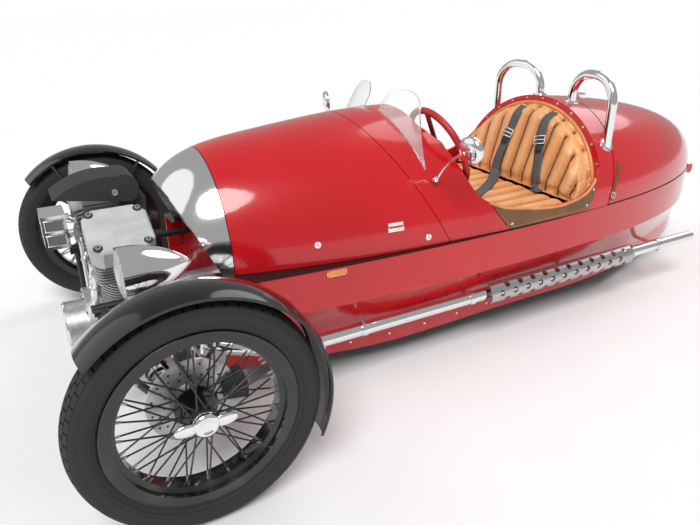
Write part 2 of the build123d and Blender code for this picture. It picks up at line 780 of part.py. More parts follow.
def make_subframe():
    """Front frame of separate tubes that carries the engine, the wishbones, the rack and the lamps."""
    rail_y = LOWER_PIVOT_Y - RAIL_HALF
    rail_z = (PIVOT_LOW_Z - RAIL_HALF, PIVOT_LOW_Z + RAIL_HALF)
    rail_inner = rail_y - RAIL_HALF
    with BuildPart() as lower_rail:
        block((BULKHEAD_X, RAIL_FRONT_X), (rail_inner, LOWER_PIVOT_Y), rail_z)
        eye_z = (PIVOT_LOW_Z - TOW_EYE_SHEET / 2, PIVOT_LOW_Z + TOW_EYE_SHEET / 2)
        block((RAIL_FRONT_X, TOW_EYE_X), (rail_y - TOW_EYE_OUTER, rail_y + TOW_EYE_OUTER), eye_z)
        bar((TOW_EYE_X, rail_y, eye_z[0]), (TOW_EYE_X, rail_y, eye_z[1]), TOW_EYE_OUTER)
        bar((TOW_EYE_X, rail_y, eye_z[0]), (TOW_EYE_X, rail_y, eye_z[1]), TOW_EYE_RADIUS, 0, Mode.SUBTRACT)
    with BuildPart() as upper_rail:
        bar((BULKHEAD_X, UPPER_PIVOT_Y, BALL_HIGH_Z), (RAIL_FRONT_X, UPPER_PIVOT_Y, BALL_HIGH_Z), RAIL_TUBE)
    with BuildPart() as posts:
        for x in (FRONT_AXLE_X - WISHBONE_SPREAD, FRONT_AXLE_X + WISHBONE_SPREAD):
            bar((x, rail_y, PIVOT_LOW_Z), (x, UPPER_PIVOT_Y, BALL_HIGH_Z), WISHBONE_RADIUS)
        add(lower_rail.part, mode=Mode.SUBTRACT)
        add(upper_rail.part, mode=Mode.SUBTRACT)
    with BuildPart() as brackets:
        block(DAMPER_BRACKET_X, DAMPER_BRACKET_Y, DAMPER_BRACKET_Z)
        block(ENGINE_MOUNT_X, (90, rail_inner), (PIVOT_LOW_Z - 8, PIVOT_LOW_Z + 8))
        arm_end = (LAMP_POST_X, LAMP_Y, LAMP_ARM_Z)
        bar((LAMP_POST_X, UPPER_PIVOT_Y, BALL_HIGH_Z), arm_end, LAMP_ARM_RADIUS)
        bar((LAMP_POST_X, LAMP_Y, LAMP_ARM_Z - 12), (LAMP_POST_X, LAMP_Y, LAMP_POST_Z), RAIL_TUBE)
        add(upper_rail.part, mode=Mode.SUBTRACT)
        add(crank_form(CASE_RADIUS, CASE_REAR_X, CASE_FRONT_X), mode=Mode.SUBTRACT)
    with BuildPart() as rack_case:
        block((RACK_X - 16, RACK_X + 16), (-rail_inner, rail_inner), (rail_z[0] + 2, rail_z[1] - 2))
        for side in (1, -1):
            block((RACK_X - 14, RACK_X + 14), sorted((side * 140, side * 162)), (rail_z[1] - 6, RACK_Z))
        bar((RACK_X, -RACK_CASE_HALF, RACK_Z), (RACK_X, RACK_CASE_HALF, RACK_Z), RACK_CASE_RADIUS)
        with BuildSketch(Plane.XZ):
            with Locations((RACK_X, RACK_Z)):
                Circle(RACK_BAR_RADIUS + RUNNING_FIT)
        extrude(amount=RACK_CASE_HALF + 40, both=True, mode=Mode.SUBTRACT)
    sides = [flank_pair(piece.part) for piece in (lower_rail, upper_rail, posts, brackets)]
    keep(Compound(children=[*rack_case.part.solids(), *sum(sides, [])]), "front_subframe")


def arm_line(pivot_y, pivot_z, ball_z, side=1):
    """The two ends of a wishbone tube."""
    x = FRONT_AXLE_X + side * WISHBONE_SPREAD
    return (x, pivot_y, pivot_z), (FRONT_AXLE_X, KINGPIN_Y, ball_z)


def make_wishbones():
    """Upper and lower wishbones, each a tube V with an eye at the ball joint, and the dampers."""
    upper_face = UPPER_PIVOT_Y + RAIL_TUBE
    with BuildPart() as arms:
        for face_y, pivot_z, ball_z in (
            (LOWER_PIVOT_Y, PIVOT_LOW_Z, BALL_LOW_Z),
            (upper_face, BALL_HIGH_Z, BALL_HIGH_Z),
        ):
            for side in (1, -1):
                x = FRONT_AXLE_X + side * WISHBONE_SPREAD
                bar(*arm_line(face_y + BUSH_RADIUS, pivot_z, ball_z, side), WISHBONE_RADIUS)
                bush_y = face_y + BUSH_RADIUS + 1
                bar((x - BUSH_HALF, bush_y, pivot_z), (x + BUSH_HALF, bush_y, pivot_z), BUSH_RADIUS)
            low, high = ball_z - BALL_EYE_HALF, ball_z + BALL_EYE_HALF
            bar((FRONT_AXLE_X, KINGPIN_Y, low), (FRONT_AXLE_X, KINGPIN_Y, high), BALL_EYE_RADIUS)
        bore = BALL_PIN_RADIUS + RUNNING_FIT
        bar((FRONT_AXLE_X, KINGPIN_Y, 0), (FRONT_AXLE_X, KINGPIN_Y, 600), bore, 0, Mode.SUBTRACT)
    keep_both(arms.part, "wishbones")

    low, high = Vector(*DAMPER_LOW), Vector(*DAMPER_HIGH)
    way = (high - low).normalized()
    with BuildPart() as damper:
        bar(low, high, DAMPER_ROD_RADIUS)
        bar(low + way * SPRING_START, low + way * SPRING_END, SPRING_RADIUS)
        bar((low.X, low.Y, low.Z - 24), (low.X, low.Y, low.Z), 9)
        block(DAMPER_BRACKET_X, DAMPER_BRACKET_Y, DAMPER_BRACKET_Z, mode=Mode.SUBTRACT)
        arm = arm_line(LOWER_PIVOT_Y + BUSH_RADIUS, PIVOT_LOW_Z, BALL_LOW_Z)
        bar(*arm, WISHBONE_RADIUS, mode=Mode.SUBTRACT)
    keep_both(damper.part, "dampers")


def make_uprights():
    """The kingpin upright with its stub axle, steering arm and brake caliper."""
    low = BALL_LOW_Z + BALL_EYE_HALF + UPRIGHT_GAP
    high = BALL_HIGH_Z - BALL_EYE_HALF - UPRIGHT_GAP
    face = KINGPIN_Y + UPRIGHT_HALF
    x0, y0, z0 = FRONT_AXLE_X, KINGPIN_Y, TYRE_RADIUS
    pin_ends = (BALL_LOW_Z - BALL_EYE_HALF, BALL_HIGH_Z + BALL_EYE_HALF)
    with BuildPart() as upright:
        block((x0 - UPRIGHT_HALF, x0 + UPRIGHT_HALF), (y0 - UPRIGHT_HALF, face), (low, high))
        bar((x0, y0, pin_ends[0]), (x0, y0, pin_ends[1]), BALL_PIN_RADIUS)
        bar((x0, y0, z0), (x0, face + 8, z0), STUB_BOSS_RADIUS)
        bar((x0, y0, z0), (x0, HALF_TRACK + HUB_OUTER_Y - 12, z0), STUB_RADIUS)
        arm_top = low + STEER_ARM_SHEET
        block((x0 - STEER_ARM, x0), (y0 - STEER_ARM_HALF, y0 + STEER_ARM_HALF), (low, arm_top))
        bar((x0 - STEER_ARM, y0, low), (x0 - STEER_ARM, y0, arm_top), STEER_ARM_HALF)
        block((x0 - CALIPER_ARM, x0), (face - 10, face + 6), (z0 + 4, z0 + 34))
        caliper_plane = Plane(origin=(x0, HALF_TRACK + DISC_Y, z0), x_dir=(1, 0, 0), z_dir=(0, -1, 0))
        with BuildSketch(caliper_plane):
            Circle(CALIPER_OUTER)
            Circle(CALIPER_INNER, mode=Mode.SUBTRACT)
            with BuildLine():
                Polyline((0, 0), (-300, 130), (-300, -55), close=True)
            make_face(mode=Mode.INTERSECT)
        extrude(amount=CALIPER_HALF, both=True)
        with BuildSketch(caliper_plane):
            Circle(DISC_RADIUS + 5)
            Circle(DISC_BORE_RADIUS, mode=Mode.SUBTRACT)
        extrude(amount=DISC_THICKNESS / 2 + 5, both=True, mode=Mode.SUBTRACT)
    keep_pair(upright.part, "upright")


def make_guards():
    """Cycle guard over each front wheel, with its stays down to the upright."""
    centre = (FRONT_AXLE_X, HALF_TRACK, TYRE_RADIUS)
    edge = GUARD_RADIUS - GUARD_CROWN
    lip = edge - GUARD_LIP
    half, inner = GUARD_HALF_WIDTH, GUARD_HALF_WIDTH - GUARD_SHEET
    with BuildPart() as guard:
        with BuildSketch(axle_plane(*centre, GUARD_FRONT_DEG)):
            with BuildLine():
                ThreePointArc((-half, edge), (0, GUARD_RADIUS), (half, edge))
                Polyline((half, edge), (half, lip), (inner, lip), (inner, edge - GUARD_SHEET))
                ThreePointArc(
                    (inner, edge - GUARD_SHEET),
                    (0, GUARD_RADIUS - GUARD_SHEET),
                    (-inner, edge - GUARD_SHEET),
                )
                Polyline((-inner, edge - GUARD_SHEET), (-inner, lip), (-half, lip), (-half, edge))
            make_face()
        revolve(axis=Axis(centre, (0, -1, 0)), revolution_arc=GUARD_REAR_DEG - GUARD_FRONT_DEG)
        for angle in STAY_ANGLES:
            side = 1 if angle < 90 else -1
            plate = sorted((FRONT_AXLE_X + side * UPRIGHT_HALF, FRONT_AXLE_X + side * (UPRIGHT_HALF + 6)))
            block(plate, (KINGPIN_Y - 12, KINGPIN_Y + 20), (STAY_FOOT_Z - 20, STAY_FOOT_Z + 20))
            foot = (FRONT_AXLE_X + side * (UPRIGHT_HALF + 7), KINGPIN_Y + 6, STAY_FOOT_Z)
            bar(foot, on_wheel(angle, edge - 5, 1 - half), STAY_RADIUS)
    keep_pair(guard.part, "guard")


def make_front_wheels():
    """Tyre, wire wheel, brake disc and winged nut of each front wheel."""
    centre = (FRONT_AXLE_X, HALF_TRACK, TYRE_RADIUS)
    axle = Axis(centre, (0, 1, 0))
    seat = RIM_HALF_WIDTH - RIM_SHEET - WALL_GAP
    with BuildPart() as tyre:
        with BuildSketch(axle_plane(*centre)):
            with BuildLine():
                shoulder = TYRE_RADIUS - TYRE_SHOULDER
                tread = TYRE_HALF_WIDTH - TREAD_INSET
                for side in (1, -1):
                    Line((side * seat, RIM_BED_RADIUS + WALL_GAP), (side * seat, RIM_RADIUS + 2))
                    ThreePointArc(
                        (side * seat, RIM_RADIUS + 2),
                        (side * TYRE_HALF_WIDTH, (RIM_RADIUS + shoulder) / 2),
                        (side * tread, shoulder),
                    )
                Line((-seat, RIM_BED_RADIUS + WALL_GAP), (seat, RIM_BED_RADIUS + WALL_GAP))
                ThreePointArc((tread, shoulder), (0, TYRE_RADIUS), (-tread, shoulder))
            make_face()
        revolve(axis=axle)
    keep_pair(tyre.part, "front_tyre")

    bed, well, sheet, wide = RIM_BED_RADIUS, RIM_WELL_RADIUS, RIM_SHEET, RIM_HALF_WIDTH
    with BuildPart() as wheel:
        with BuildSketch(axle_plane(*centre)):
            with BuildLine():
                flange = [(wide, RIM_RADIUS), (wide - sheet, RIM_RADIUS), (wide - sheet, bed)]
                half = [*flange, (22, bed), (16, well)]
                under = [(18, well - sheet), (25, bed - sheet), (wide, bed - sheet)]
                left = [(-y, r) for y, r in half]
                under_left = [(-y, r) for y, r in under]
                Polyline(*half, *reversed(left), *reversed(under_left), *under, close=True)
            make_face()
        revolve(axis=axle)
        with BuildSketch(axle_plane(*centre)):
            with BuildLine():
                Polyline(
                    (HUB_INNER_Y, 0),
                    (HUB_INNER_Y, HUB_INNER_FLANGE_RADIUS),
                    (HUB_INNER_Y + HUB_FLANGE, HUB_INNER_FLANGE_RADIUS),
                    (HUB_INNER_Y + HUB_FLANGE, HUB_BARREL_RADIUS),
                    (HUB_OUTER_Y - HUB_FLANGE, HUB_BARREL_RADIUS),
                    (HUB_OUTER_Y - HUB_FLANGE, HUB_OUTER_FLANGE_RADIUS),
                    (HUB_OUTER_Y, HUB_OUTER_FLANGE_RADIUS),
                    (HUB_OUTER_Y, 0),
                    close=True,
                )
            make_face()
        revolve(axis=axle)
        # Spoke rows: distance and radius of the hub end, distance of the rim end, angle between the ends
        for hub_y, hub_radius, rim_y, twist in (
            (HUB_OUTER_Y - HUB_FLANGE / 2, HUB_OUTER_FLANGE_RADIUS - SPOKE_INSET, 9, 28),
            (HUB_INNER_Y + HUB_FLANGE / 2, HUB_INNER_FLANGE_RADIUS - SPOKE_INSET, -9, 24),
        ):
            for spoke in range(SPOKES_PER_ROW):
                rim_deg = spoke * 360 / SPOKES_PER_ROW
                hub_deg = rim_deg + twist * (1 if spoke % 2 else -1)
                bar(
                    on_wheel(hub_deg, hub_radius, hub_y),
                    on_wheel(rim_deg, RIM_WELL_RADIUS - SPOKE_SINK, rim_y),
                    SPOKE_RADIUS,
                )
        with BuildSketch(Plane(origin=(centre[0], HALF_TRACK + HUB_INNER_Y, centre[2]), z_dir=(0, 1, 0))):
            Circle(STUB_RADIUS + RUNNING_FIT)
        extrude(amount=HUB_OUTER_Y - HUB_INNER_Y - 10, mode=Mode.SUBTRACT)
    keep_pair(wheel.part, "wire_wheel")

    disc_in = DISC_Y - DISC_THICKNESS / 2
    disc_out = DISC_Y + DISC_THICKNESS / 2
    with BuildPart() as disc:
        with BuildSketch(axle_plane(*centre)):
            with BuildLine():
                Polyline(
                    (disc_in, DISC_BORE_RADIUS + 4),
                    (disc_in, DISC_RADIUS),
                    (disc_out, DISC_RADIUS),
                    (disc_out, HUB_INNER_FLANGE_RADIUS),
                    (HUB_INNER_Y, HUB_INNER_FLANGE_RADIUS - 6),
                    (HUB_INNER_Y, DISC_BORE_RADIUS + 4),
                    close=True,
                )
            make_face()
        revolve(axis=axle)
    keep_pair(disc.part, "brake_disc")

    nut_foot = (centre[0], HALF_TRACK + HUB_OUTER_Y, centre[2])
    nut_plane = Plane(origin=nut_foot, x_dir=(1, 0, 0), z_dir=(0, 1, 0))
    with BuildPart() as nut:
        with BuildSketch(nut_plane):
            Circle(SPINNER_RADIUS)
        extrude(amount=SPINNER_DEPTH)
        fillet(nut.edges().group_by(Axis.Y)[-1], SPINNER_ROUND)
        with BuildSketch(nut_plane.offset(4)):
            with BuildLine():
                ThreePointArc((-SPINNER_EAR_REACH, 0), (0, SPINNER_EAR_WIDTH), (SPINNER_EAR_REACH, 0))
                ThreePointArc((-SPINNER_EAR_REACH, 0), (0, -SPINNER_EAR_WIDTH), (SPINNER_EAR_REACH, 0))
            make_face()
        extrude(amount=8)
    keep_pair(nut.part, "wheel_nut")


def make_rear_wheel():
    """Rear tyre and its cast wheel, on an axle carried by the swinging arm."""
    centre = (REAR_AXLE_X, 0, REAR_TYRE_RADIUS)
    axle = Axis(centre, (0, 1, 0))
    bead = REAR_RIM_HALF_WIDTH - 7
    shoulder = REAR_TYRE_RADIUS - 14
    with BuildPart() as tyre:
        with BuildSketch(axle_plane(*centre)):
            with BuildLine():
                for side in (1, -1):
                    Line((side * bead, REAR_RIM_RADIUS - REAR_RIM_DROP), (side * bead, REAR_RIM_RADIUS + 2))
                    ThreePointArc(
                        (side * bead, REAR_RIM_RADIUS + 2),
                        (side * REAR_TYRE_HALF_WIDTH, (REAR_RIM_RADIUS + shoulder) / 2),
                        (side * (REAR_TYRE_HALF_WIDTH - 7), shoulder),
                    )
                Line((-bead, REAR_RIM_RADIUS - REAR_RIM_DROP), (bead, REAR_RIM_RADIUS - REAR_RIM_DROP))
                ThreePointArc(
                    (REAR_TYRE_HALF_WIDTH - 7, shoulder),
                    (0, REAR_TYRE_RADIUS),
                    (7 - REAR_TYRE_HALF_WIDTH, shoulder),
                )
            make_face()
        revolve(axis=axle)
    keep(tyre.part, "rear_tyre")

    wide = REAR_RIM_HALF_WIDTH
    bed = REAR_RIM_RADIUS - REAR_RIM_DROP - WALL_GAP
    under = bed - REAR_RIM_SHEET
    with BuildPart() as wheel:
        with BuildSketch(axle_plane(*centre)):
            with BuildLine():
                Polyline(
                    (wide, REAR_RIM_RADIUS),
                    (wide - REAR_RIM_SHEET, REAR_RIM_RADIUS),
                    (wide - REAR_RIM_SHEET, bed),
                    (REAR_RIM_SHEET - wide, bed),
                    (REAR_RIM_SHEET - wide, REAR_RIM_RADIUS),
                    (-wide, REAR_RIM_RADIUS),
                    (-wide, under),
                    (-REAR_DISC_HALF, under),
                    (-REAR_DISC_HALF, REAR_HUB_RADIUS),
                    (-REAR_HUB_HALF_WIDTH, REAR_HUB_RADIUS),
                    (-REAR_HUB_HALF_WIDTH, REAR_AXLE_RADIUS + RUNNING_FIT),
                    (REAR_HUB_HALF_WIDTH, REAR_AXLE_RADIUS + RUNNING_FIT),
                    (REAR_HUB_HALF_WIDTH, REAR_HUB_RADIUS),
                    (REAR_DISC_HALF, REAR_HUB_RADIUS),
                    (REAR_DISC_HALF, under),
                    (wide, under),
                    close=True,
                )
            make_face()
        revolve(axis=axle)
        with BuildSketch(Plane(origin=centre, z_dir=(0, 1, 0))):
            with PolarLocations(REAR_HOLE_CIRCLE, REAR_HOLES):
                Circle(REAR_HOLE_RADIUS)
        extrude(amount=20, both=True, mode=Mode.SUBTRACT)
    keep(wheel.part, "rear_wheel")

    z0, pivot_z = REAR_TYRE_RADIUS, ARM_PIVOT_Z
    rear_face = REAR_WALL_X - BULKHEAD_SHEET
    with BuildPart() as arm:
        for side in (1, -1):
            y = side * ARM_Y
            bar((ARM_PIVOT_X, y, pivot_z), (REAR_AXLE_X, y, z0), ARM_RADIUS)
            bar((REAR_AXLE_X, y - 18, z0), (REAR_AXLE_X, y + 18, z0), ARM_END_RADIUS)
            lug = sorted((side * ARM_LUG_Y[0], side * ARM_LUG_Y[1]))
            block((ARM_PIVOT_X - 10, rear_face), lug, (pivot_z - 30, pivot_z + 26))
        pivot_ends = (-ARM_PIVOT_HALF, ARM_PIVOT_HALF)
        bar((ARM_PIVOT_X, pivot_ends[0], pivot_z), (ARM_PIVOT_X, pivot_ends[1], pivot_z), ARM_PIVOT_RADIUS)
        bar((REAR_AXLE_X, -ARM_Y, z0), (REAR_AXLE_X, ARM_Y, z0), REAR_AXLE_RADIUS)
    keep(arm.part, "rear_arm")

    with BuildPart() as gears:
        block((rear_face - BEVEL_BOX_LENGTH, rear_face), (-BEVEL_BOX_HALF, BEVEL_BOX_HALF), BEVEL_BOX_Z)
        fillet(gears.edges().filter_by(Axis.Y), REAR_RIM_SHEET * 2)
    keep(gears.part, "bevel_box")


def make_engine():
    """V twin: crankcase, two finned cylinders with their heads, rocker covers, airbox and cooler."""
    case_form = crank_form(CASE_RADIUS, CASE_REAR_X, CASE_FRONT_X)
    with BuildPart() as case:
        add(case_form)
        add(crank_form(COVER_RADIUS, CASE_FRONT_X, COVER_FRONT_X))
        bar((BULKHEAD_X, 0, DRIVE_TUBE_Z), (CASE_REAR_X, 0, DRIVE_TUBE_Z), DRIVE_TUBE_RADIUS)
    keep(case.part, "crankcase")

    tilt = math.radians(CYLINDER_TILT)
    along = Vector(0, math.sin(tilt), math.cos(tilt))
    foot = Vector(ENGINE_X, 0, CRANK_Z)
    with BuildPart() as cylinder:
        bar(foot + along * 100, foot + along * (HEAD_START + 4), BARREL_RADIUS)
        for fin in range(FIN_COUNT):
            start = FIN_START + fin * FIN_PITCH
            bar(foot + along * start, foot + along * (start + FIN_THICKNESS), FIN_RADIUS)
        head_plane = Plane(origin=foot + along * HEAD_START, x_dir=(1, 0, 0), z_dir=along)
        with BuildSketch(head_plane):
            RectangleRounded(HEAD_LENGTH - HEAD_INSET, HEAD_WIDTH - HEAD_INSET, HEAD_ROUND)
        extrude(amount=HEAD_HEIGHT)
        for fin in range(FIN_COUNT - 1):
            with BuildSketch(head_plane.offset(fin * FIN_PITCH + 2)):
                RectangleRounded(HEAD_LENGTH, HEAD_WIDTH, HEAD_ROUND + 6)
            extrude(amount=FIN_THICKNESS)
        add(case_form, mode=Mode.SUBTRACT)
    keep_both(cylinder.part, "cylinders")

    cover_plane = Plane(origin=foot + along * (HEAD_START + HEAD_HEIGHT), x_dir=(1, 0, 0), z_dir=along)
    with BuildPart() as cover:
        with BuildSketch(cover_plane):
            Rectangle(ROCKER_LENGTH, ROCKER_WIDTH)
            chamfer(vertices(), ROCKER_CORNER)
        extrude(amount=ROCKER_HEIGHT)
        chamfer(cover.faces().sort_by(Axis(tuple(foot), tuple(along)))[-1].edges(), ROCKER_EDGE)
    keep_both(cover.part, "rocker_covers")

    nose, back, crest, tail, foot_point = AIRBOX_LINE
    with BuildPart() as box:
        with BuildSketch(Plane.XZ):
            with BuildLine():
                ThreePointArc(nose, back, crest)
                ThreePointArc(crest, tail, foot_point)
                Line(foot_point, nose)
            make_face()
        extrude(amount=AIRBOX_HALF, both=True)
    keep(box.part, "airbox")

    with BuildPart() as duct:
        for x, z, wide, high in (DUCT_REAR, DUCT_FRONT):
            with BuildSketch(Plane.YZ.offset(x)):
                with Locations((0, z)):
                    Rectangle(wide, high)
        loft()
        add(box.part, mode=Mode.SUBTRACT)
    keep(duct.part, "intake_duct")

    window_y = (COOLER_Y[0] + COOLER_BORDER, COOLER_Y[1] - COOLER_BORDER)
    with BuildPart() as cooler:
        block(COOLER_X, COOLER_Y, COOLER_Z)
        for window_z in COOLER_WINDOWS:
            block((COOLER_X[0] + 20, COOLER_X[1] + 1), window_y, window_z, mode=Mode.SUBTRACT)
    keep(cooler.part, "oil_cooler")


def make_exhausts():
    """Exhaust pipe along each flank with its hangers, and its pierced heat shield."""
    tilt = math.radians(CYLINDER_TILT)
    along = Vector(0, math.sin(tilt), math.cos(tilt))
    port = Vector(ENGINE_X, 0, CRANK_Z) + along * (HEAD_START + EXHAUST_PORT)
    out = Vector(0, math.cos(tilt), -math.sin(tilt))
    start = port + out * (HEAD_WIDTH / 2)
    elbow = port + out * (HEAD_WIDTH / 2 + EXHAUST_ELBOW)
    flank = lower_form(0, SILL_Z, SPLIT_Z)
    with BuildPart() as pipe:
        with BuildLine() as path:
            FilletPolyline(
                start,
                elbow,
                (EXHAUST_DROP_X, EXHAUST_Y, EXHAUST_DROP_Z),
                (EXHAUST_RUN_X, EXHAUST_Y, EXHAUST_Z),
                (EXHAUST_END_X, EXHAUST_Y, EXHAUST_Z),
                radius=EXHAUST_BENDS,
            )
        with BuildSketch(Plane(origin=path.line @ 0, z_dir=path.line % 0)):
            Circle(EXHAUST_RADIUS)
            Circle(EXHAUST_RADIUS - EXHAUST_WALL, mode=Mode.SUBTRACT)
        sweep()
    with BuildPart() as hangers:
        for x in HANGER_XS:
            ends = (x - HANGER_HALF, x + HANGER_HALF)
            front, rear = (ends[0], EXHAUST_Y, EXHAUST_Z), (ends[1], EXHAUST_Y, EXHAUST_Z)
            bar(front, rear, EXHAUST_RADIUS + 4, EXHAUST_RADIUS - 1)
            block(ends, (200, EXHAUST_Y - EXHAUST_RADIUS), (EXHAUST_Z - 4, EXHAUST_Z + 4))
        add(flank, mode=Mode.SUBTRACT)
        block((-2000, 2000), (0, 250), (0, 500), mode=Mode.SUBTRACT)
    with BuildPart() as exhaust:
        add(pipe.part)
        add(hangers.part)
    keep_both(exhaust.part, "exhausts")

    with BuildPart() as shield:
        with BuildSketch(Plane.YZ.offset(SHIELD_REAR_X)):
            with Locations((EXHAUST_Y, EXHAUST_Z)):
                Circle(SHIELD_RADIUS)
                Circle(SHIELD_RADIUS - SHIELD_SHEET, mode=Mode.SUBTRACT)
            with BuildLine():
                Polyline(
                    (EXHAUST_Y - 4, EXHAUST_Z + 4),
                    (EXHAUST_Y + 4, EXHAUST_Z + 100),
                    (EXHAUST_Y + 100, EXHAUST_Z + 100),
                    (EXHAUST_Y + 100, EXHAUST_Z - 100),
                    (EXHAUST_Y + 24, EXHAUST_Z - 100),
                    close=True,
                )
            make_face(mode=Mode.INTERSECT)
        extrude(amount=SHIELD_FRONT_X - SHIELD_REAR_X)
        pitch = (SHIELD_FRONT_X - SHIELD_REAR_X) / (SHIELD_COLUMNS + 1)
        for row, degrees in enumerate(SHIELD_ROWS):
            angle = math.radians(degrees)
            way = Vector(0, math.cos(angle), math.sin(angle))
            for column in range(SHIELD_COLUMNS):
                x = SHIELD_REAR_X + pitch * (column + 1) + (pitch / 2 if row == 1 else 0) - pitch / 4
                with BuildSketch(Plane(origin=Vector(x, EXHAUST_Y, EXHAUST_Z) + way * 30, z_dir=way)):
                    Circle(SHIELD_HOLE_RADIUS)
                extrude(amount=30, mode=Mode.SUBTRACT)
        for x in (SHIELD_REAR_X + 12, SHIELD_FRONT_X - 24):
            with BuildSketch(Plane.YZ.offset(x)):
                with Locations((EXHAUST_Y, EXHAUST_Z)):
                    Circle(SHIELD_RADIUS - 1)
                    Circle(EXHAUST_RADIUS + WALL_GAP / 5, mode=Mode.SUBTRACT)
                with BuildLine():
                    Polyline(
                        (EXHAUST_Y, EXHAUST_Z),
                        (EXHAUST_Y + 100, EXHAUST_Z + 60),
                        (EXHAUST_Y + 100, EXHAUST_Z - 40),
                        close=True,
                    )
                make_face(mode=Mode.INTERSECT)
            extrude(amount=10)
    keep_both(shield.part, "heat_shields")


def make_lamps():
    """Bullet headlamps with their glasses, tail lamps and side markers."""
    centre = (LAMP_X, LAMP_Y, LAMP_Z)
    lamp_plane = Plane(origin=centre, x_dir=(1, 0, 0), z_dir=(0, -1, 0))
    lamp_axis = Axis(centre, (1, 0, 0))
    rear = -LAMP_LENGTH
    with BuildPart() as lamp:
        with BuildSketch(lamp_plane):
            with BuildLine():
                Line((0, 0), (0, LAMP_RADIUS))
                Line((0, LAMP_RADIUS), (-LAMP_RIM, LAMP_RADIUS))
                ThreePointArc((-LAMP_RIM, LAMP_RADIUS), (rear * 0.6, LAMP_RADIUS * 0.72), (rear, 0))
                Line((rear, 0), (0, 0))
            make_face()
        revolve(axis=lamp_axis)
        with BuildSketch(Plane(origin=centre, z_dir=(-1, 0, 0))):
            Circle(LAMP_RADIUS - LAMP_BEZEL)
        extrude(amount=LENS_DEPTH, mode=Mode.SUBTRACT)
        bar((LAMP_POST_X, LAMP_Y, LAMP_POST_Z), (LAMP_POST_X, LAMP_Y, LAMP_Z), 12)
    keep_both(lamp.part, "headlamps")

    with BuildPart() as lens:
        with BuildSketch(lamp_plane):
            with BuildLine():
                radius = LAMP_RADIUS - LAMP_BEZEL - WALL_GAP
                Polyline((0, radius), (-6, radius), (-6, 0), (12, 0))
                RadiusArc((12, 0), (0, radius), -radius * 3)
            make_face()
        revolve(axis=lamp_axis)
    keep_both(lens.part, "headlamp_glasses")

    with BuildPart() as tail_lamp:
        bar(TAIL_LAMP_FRONT, TAIL_LAMP_REAR, TAIL_LAMP_RADIUS)
        add(lower_form(0, SILL_Z, SPLIT_Z), mode=Mode.SUBTRACT)
    keep_both(tail_lamp.part, "tail_lamps")

    with BuildPart() as marker:
        with BuildSketch(Plane.XZ.offset(-400)):
            with Locations(MARKER_CENTRE):
                SlotOverall(*MARKER_SIZE)
        extrude(amount=-60)
        add(lower_form(0, SILL_Z, SPLIT_Z), mode=Mode.SUBTRACT)
    with BuildPart() as trimmed:
        add(marker.part)
        add(lower_form(-5, SILL_Z, SPLIT_Z), mode=Mode.INTERSECT)
    keep_both(trimmed.part, "side_markers")


def make_fittings():
    """Roll hoops, small windscreens and mirrors."""
    body = upper_form(0)
    with BuildPart() as hoop:
        with BuildLine() as path:
            FilletPolyline(
                (*HOOP_INNER, HOOP_FOOT_Z),
                (*HOOP_INNER, HOOP_TOP_Z),
                (*HOOP_OUTER, HOOP_TOP_Z),
                (*HOOP_OUTER, HOOP_FOOT_Z),
                radius=(HOOP_BEND, HOOP_BEND),
            )
        with BuildSketch(Plane(origin=path.line @ 0, z_dir=path.line % 0)):
            Circle(HOOP_TUBE)
        sweep()
        add(body, mode=Mode.SUBTRACT)
    upright_hoop = hoop.part.solids().sort_by(SortBy.VOLUME)[-1]
    keep_both(Compound(children=[upright_hoop]), "roll_hoops")

    foot_x, foot_z = SCREEN_FOOT
    centre_x = foot_x - SCREEN_RADIUS + (foot_z - SCREEN_BASE_Z) * SCREEN_LEAN
    with BuildPart() as screen:
        with BuildSketch(Plane.XY.offset(SCREEN_BASE_Z)):
            with Locations((centre_x, SCREEN_Y)):
                Circle(SCREEN_RADIUS)
                Circle(SCREEN_RADIUS - SCREEN_SHEET, mode=Mode.SUBTRACT)
        extrude(amount=360, dir=(-SCREEN_LEAN, 0, 1))
        with BuildSketch(Plane.YZ):
            with BuildLine():
                FilletPolyline(*SCREEN_OUTLINE, radius=SCREEN_CORNERS)
                Line(SCREEN_OUTLINE[-1], SCREEN_OUTLINE[0])
            make_face()
        extrude(amount=SLAB_REACH, mode=Mode.INTERSECT)
        add(body, mode=Mode.SUBTRACT)
    keep_both(screen.part, "windscreens")

    foot, head = Vector(*MIRROR_FOOT), Vector(*MIRROR_HEAD)
    with BuildPart() as mirror_piece:
        bar(foot, head, MIRROR_STALK)
        mirror_plane = Plane(origin=head, z_dir=MIRROR_FACING)
        with BuildSketch(mirror_plane):
            Circle(MIRROR_RADIUS)
        extrude(amount=MIRROR_HALF, both=True)
        add(body, mode=Mode.SUBTRACT)
    keep_both(mirror_piece.part, "mirrors")


def make_all():
    """Build every piece and write it to the parts folder."""
    os.makedirs("parts", exist_ok=True)
    make_upper_body()
    make_lower_body()
    make_floor()
    make_cockpit()
    make_steering()
    make_subframe()
    make_wishbones()
    make_uprights()
    make_guards()
    make_front_wheels()
    make_rear_wheel()
    make_engine()
    make_exhausts()
    make_lamps()
    make_fittings()


make_all()
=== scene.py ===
"""Looks of a three wheeled sports car with an exposed V twin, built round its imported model.

Each class below dresses one sub-assembly of the car in metres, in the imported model's own frame: +X
forward, +Y to the car's left, +Z up. Small repeated shapes are rows of numbers: a block is its centre's
x, y and z, then its length, width, thickness and rounding; a stud is the heights of its foot and top,
then its radius and, where it tapers, its tip's; a profile's points are a distance along its axis and a
radius.
"""

from __future__ import annotations

import json
import logging
import math
from collections.abc import Callable, Iterable, Sequence
from dataclasses import dataclass
from enum import Enum
from itertools import groupby

import bmesh
import bpy
from mathutils import Matrix, Vector

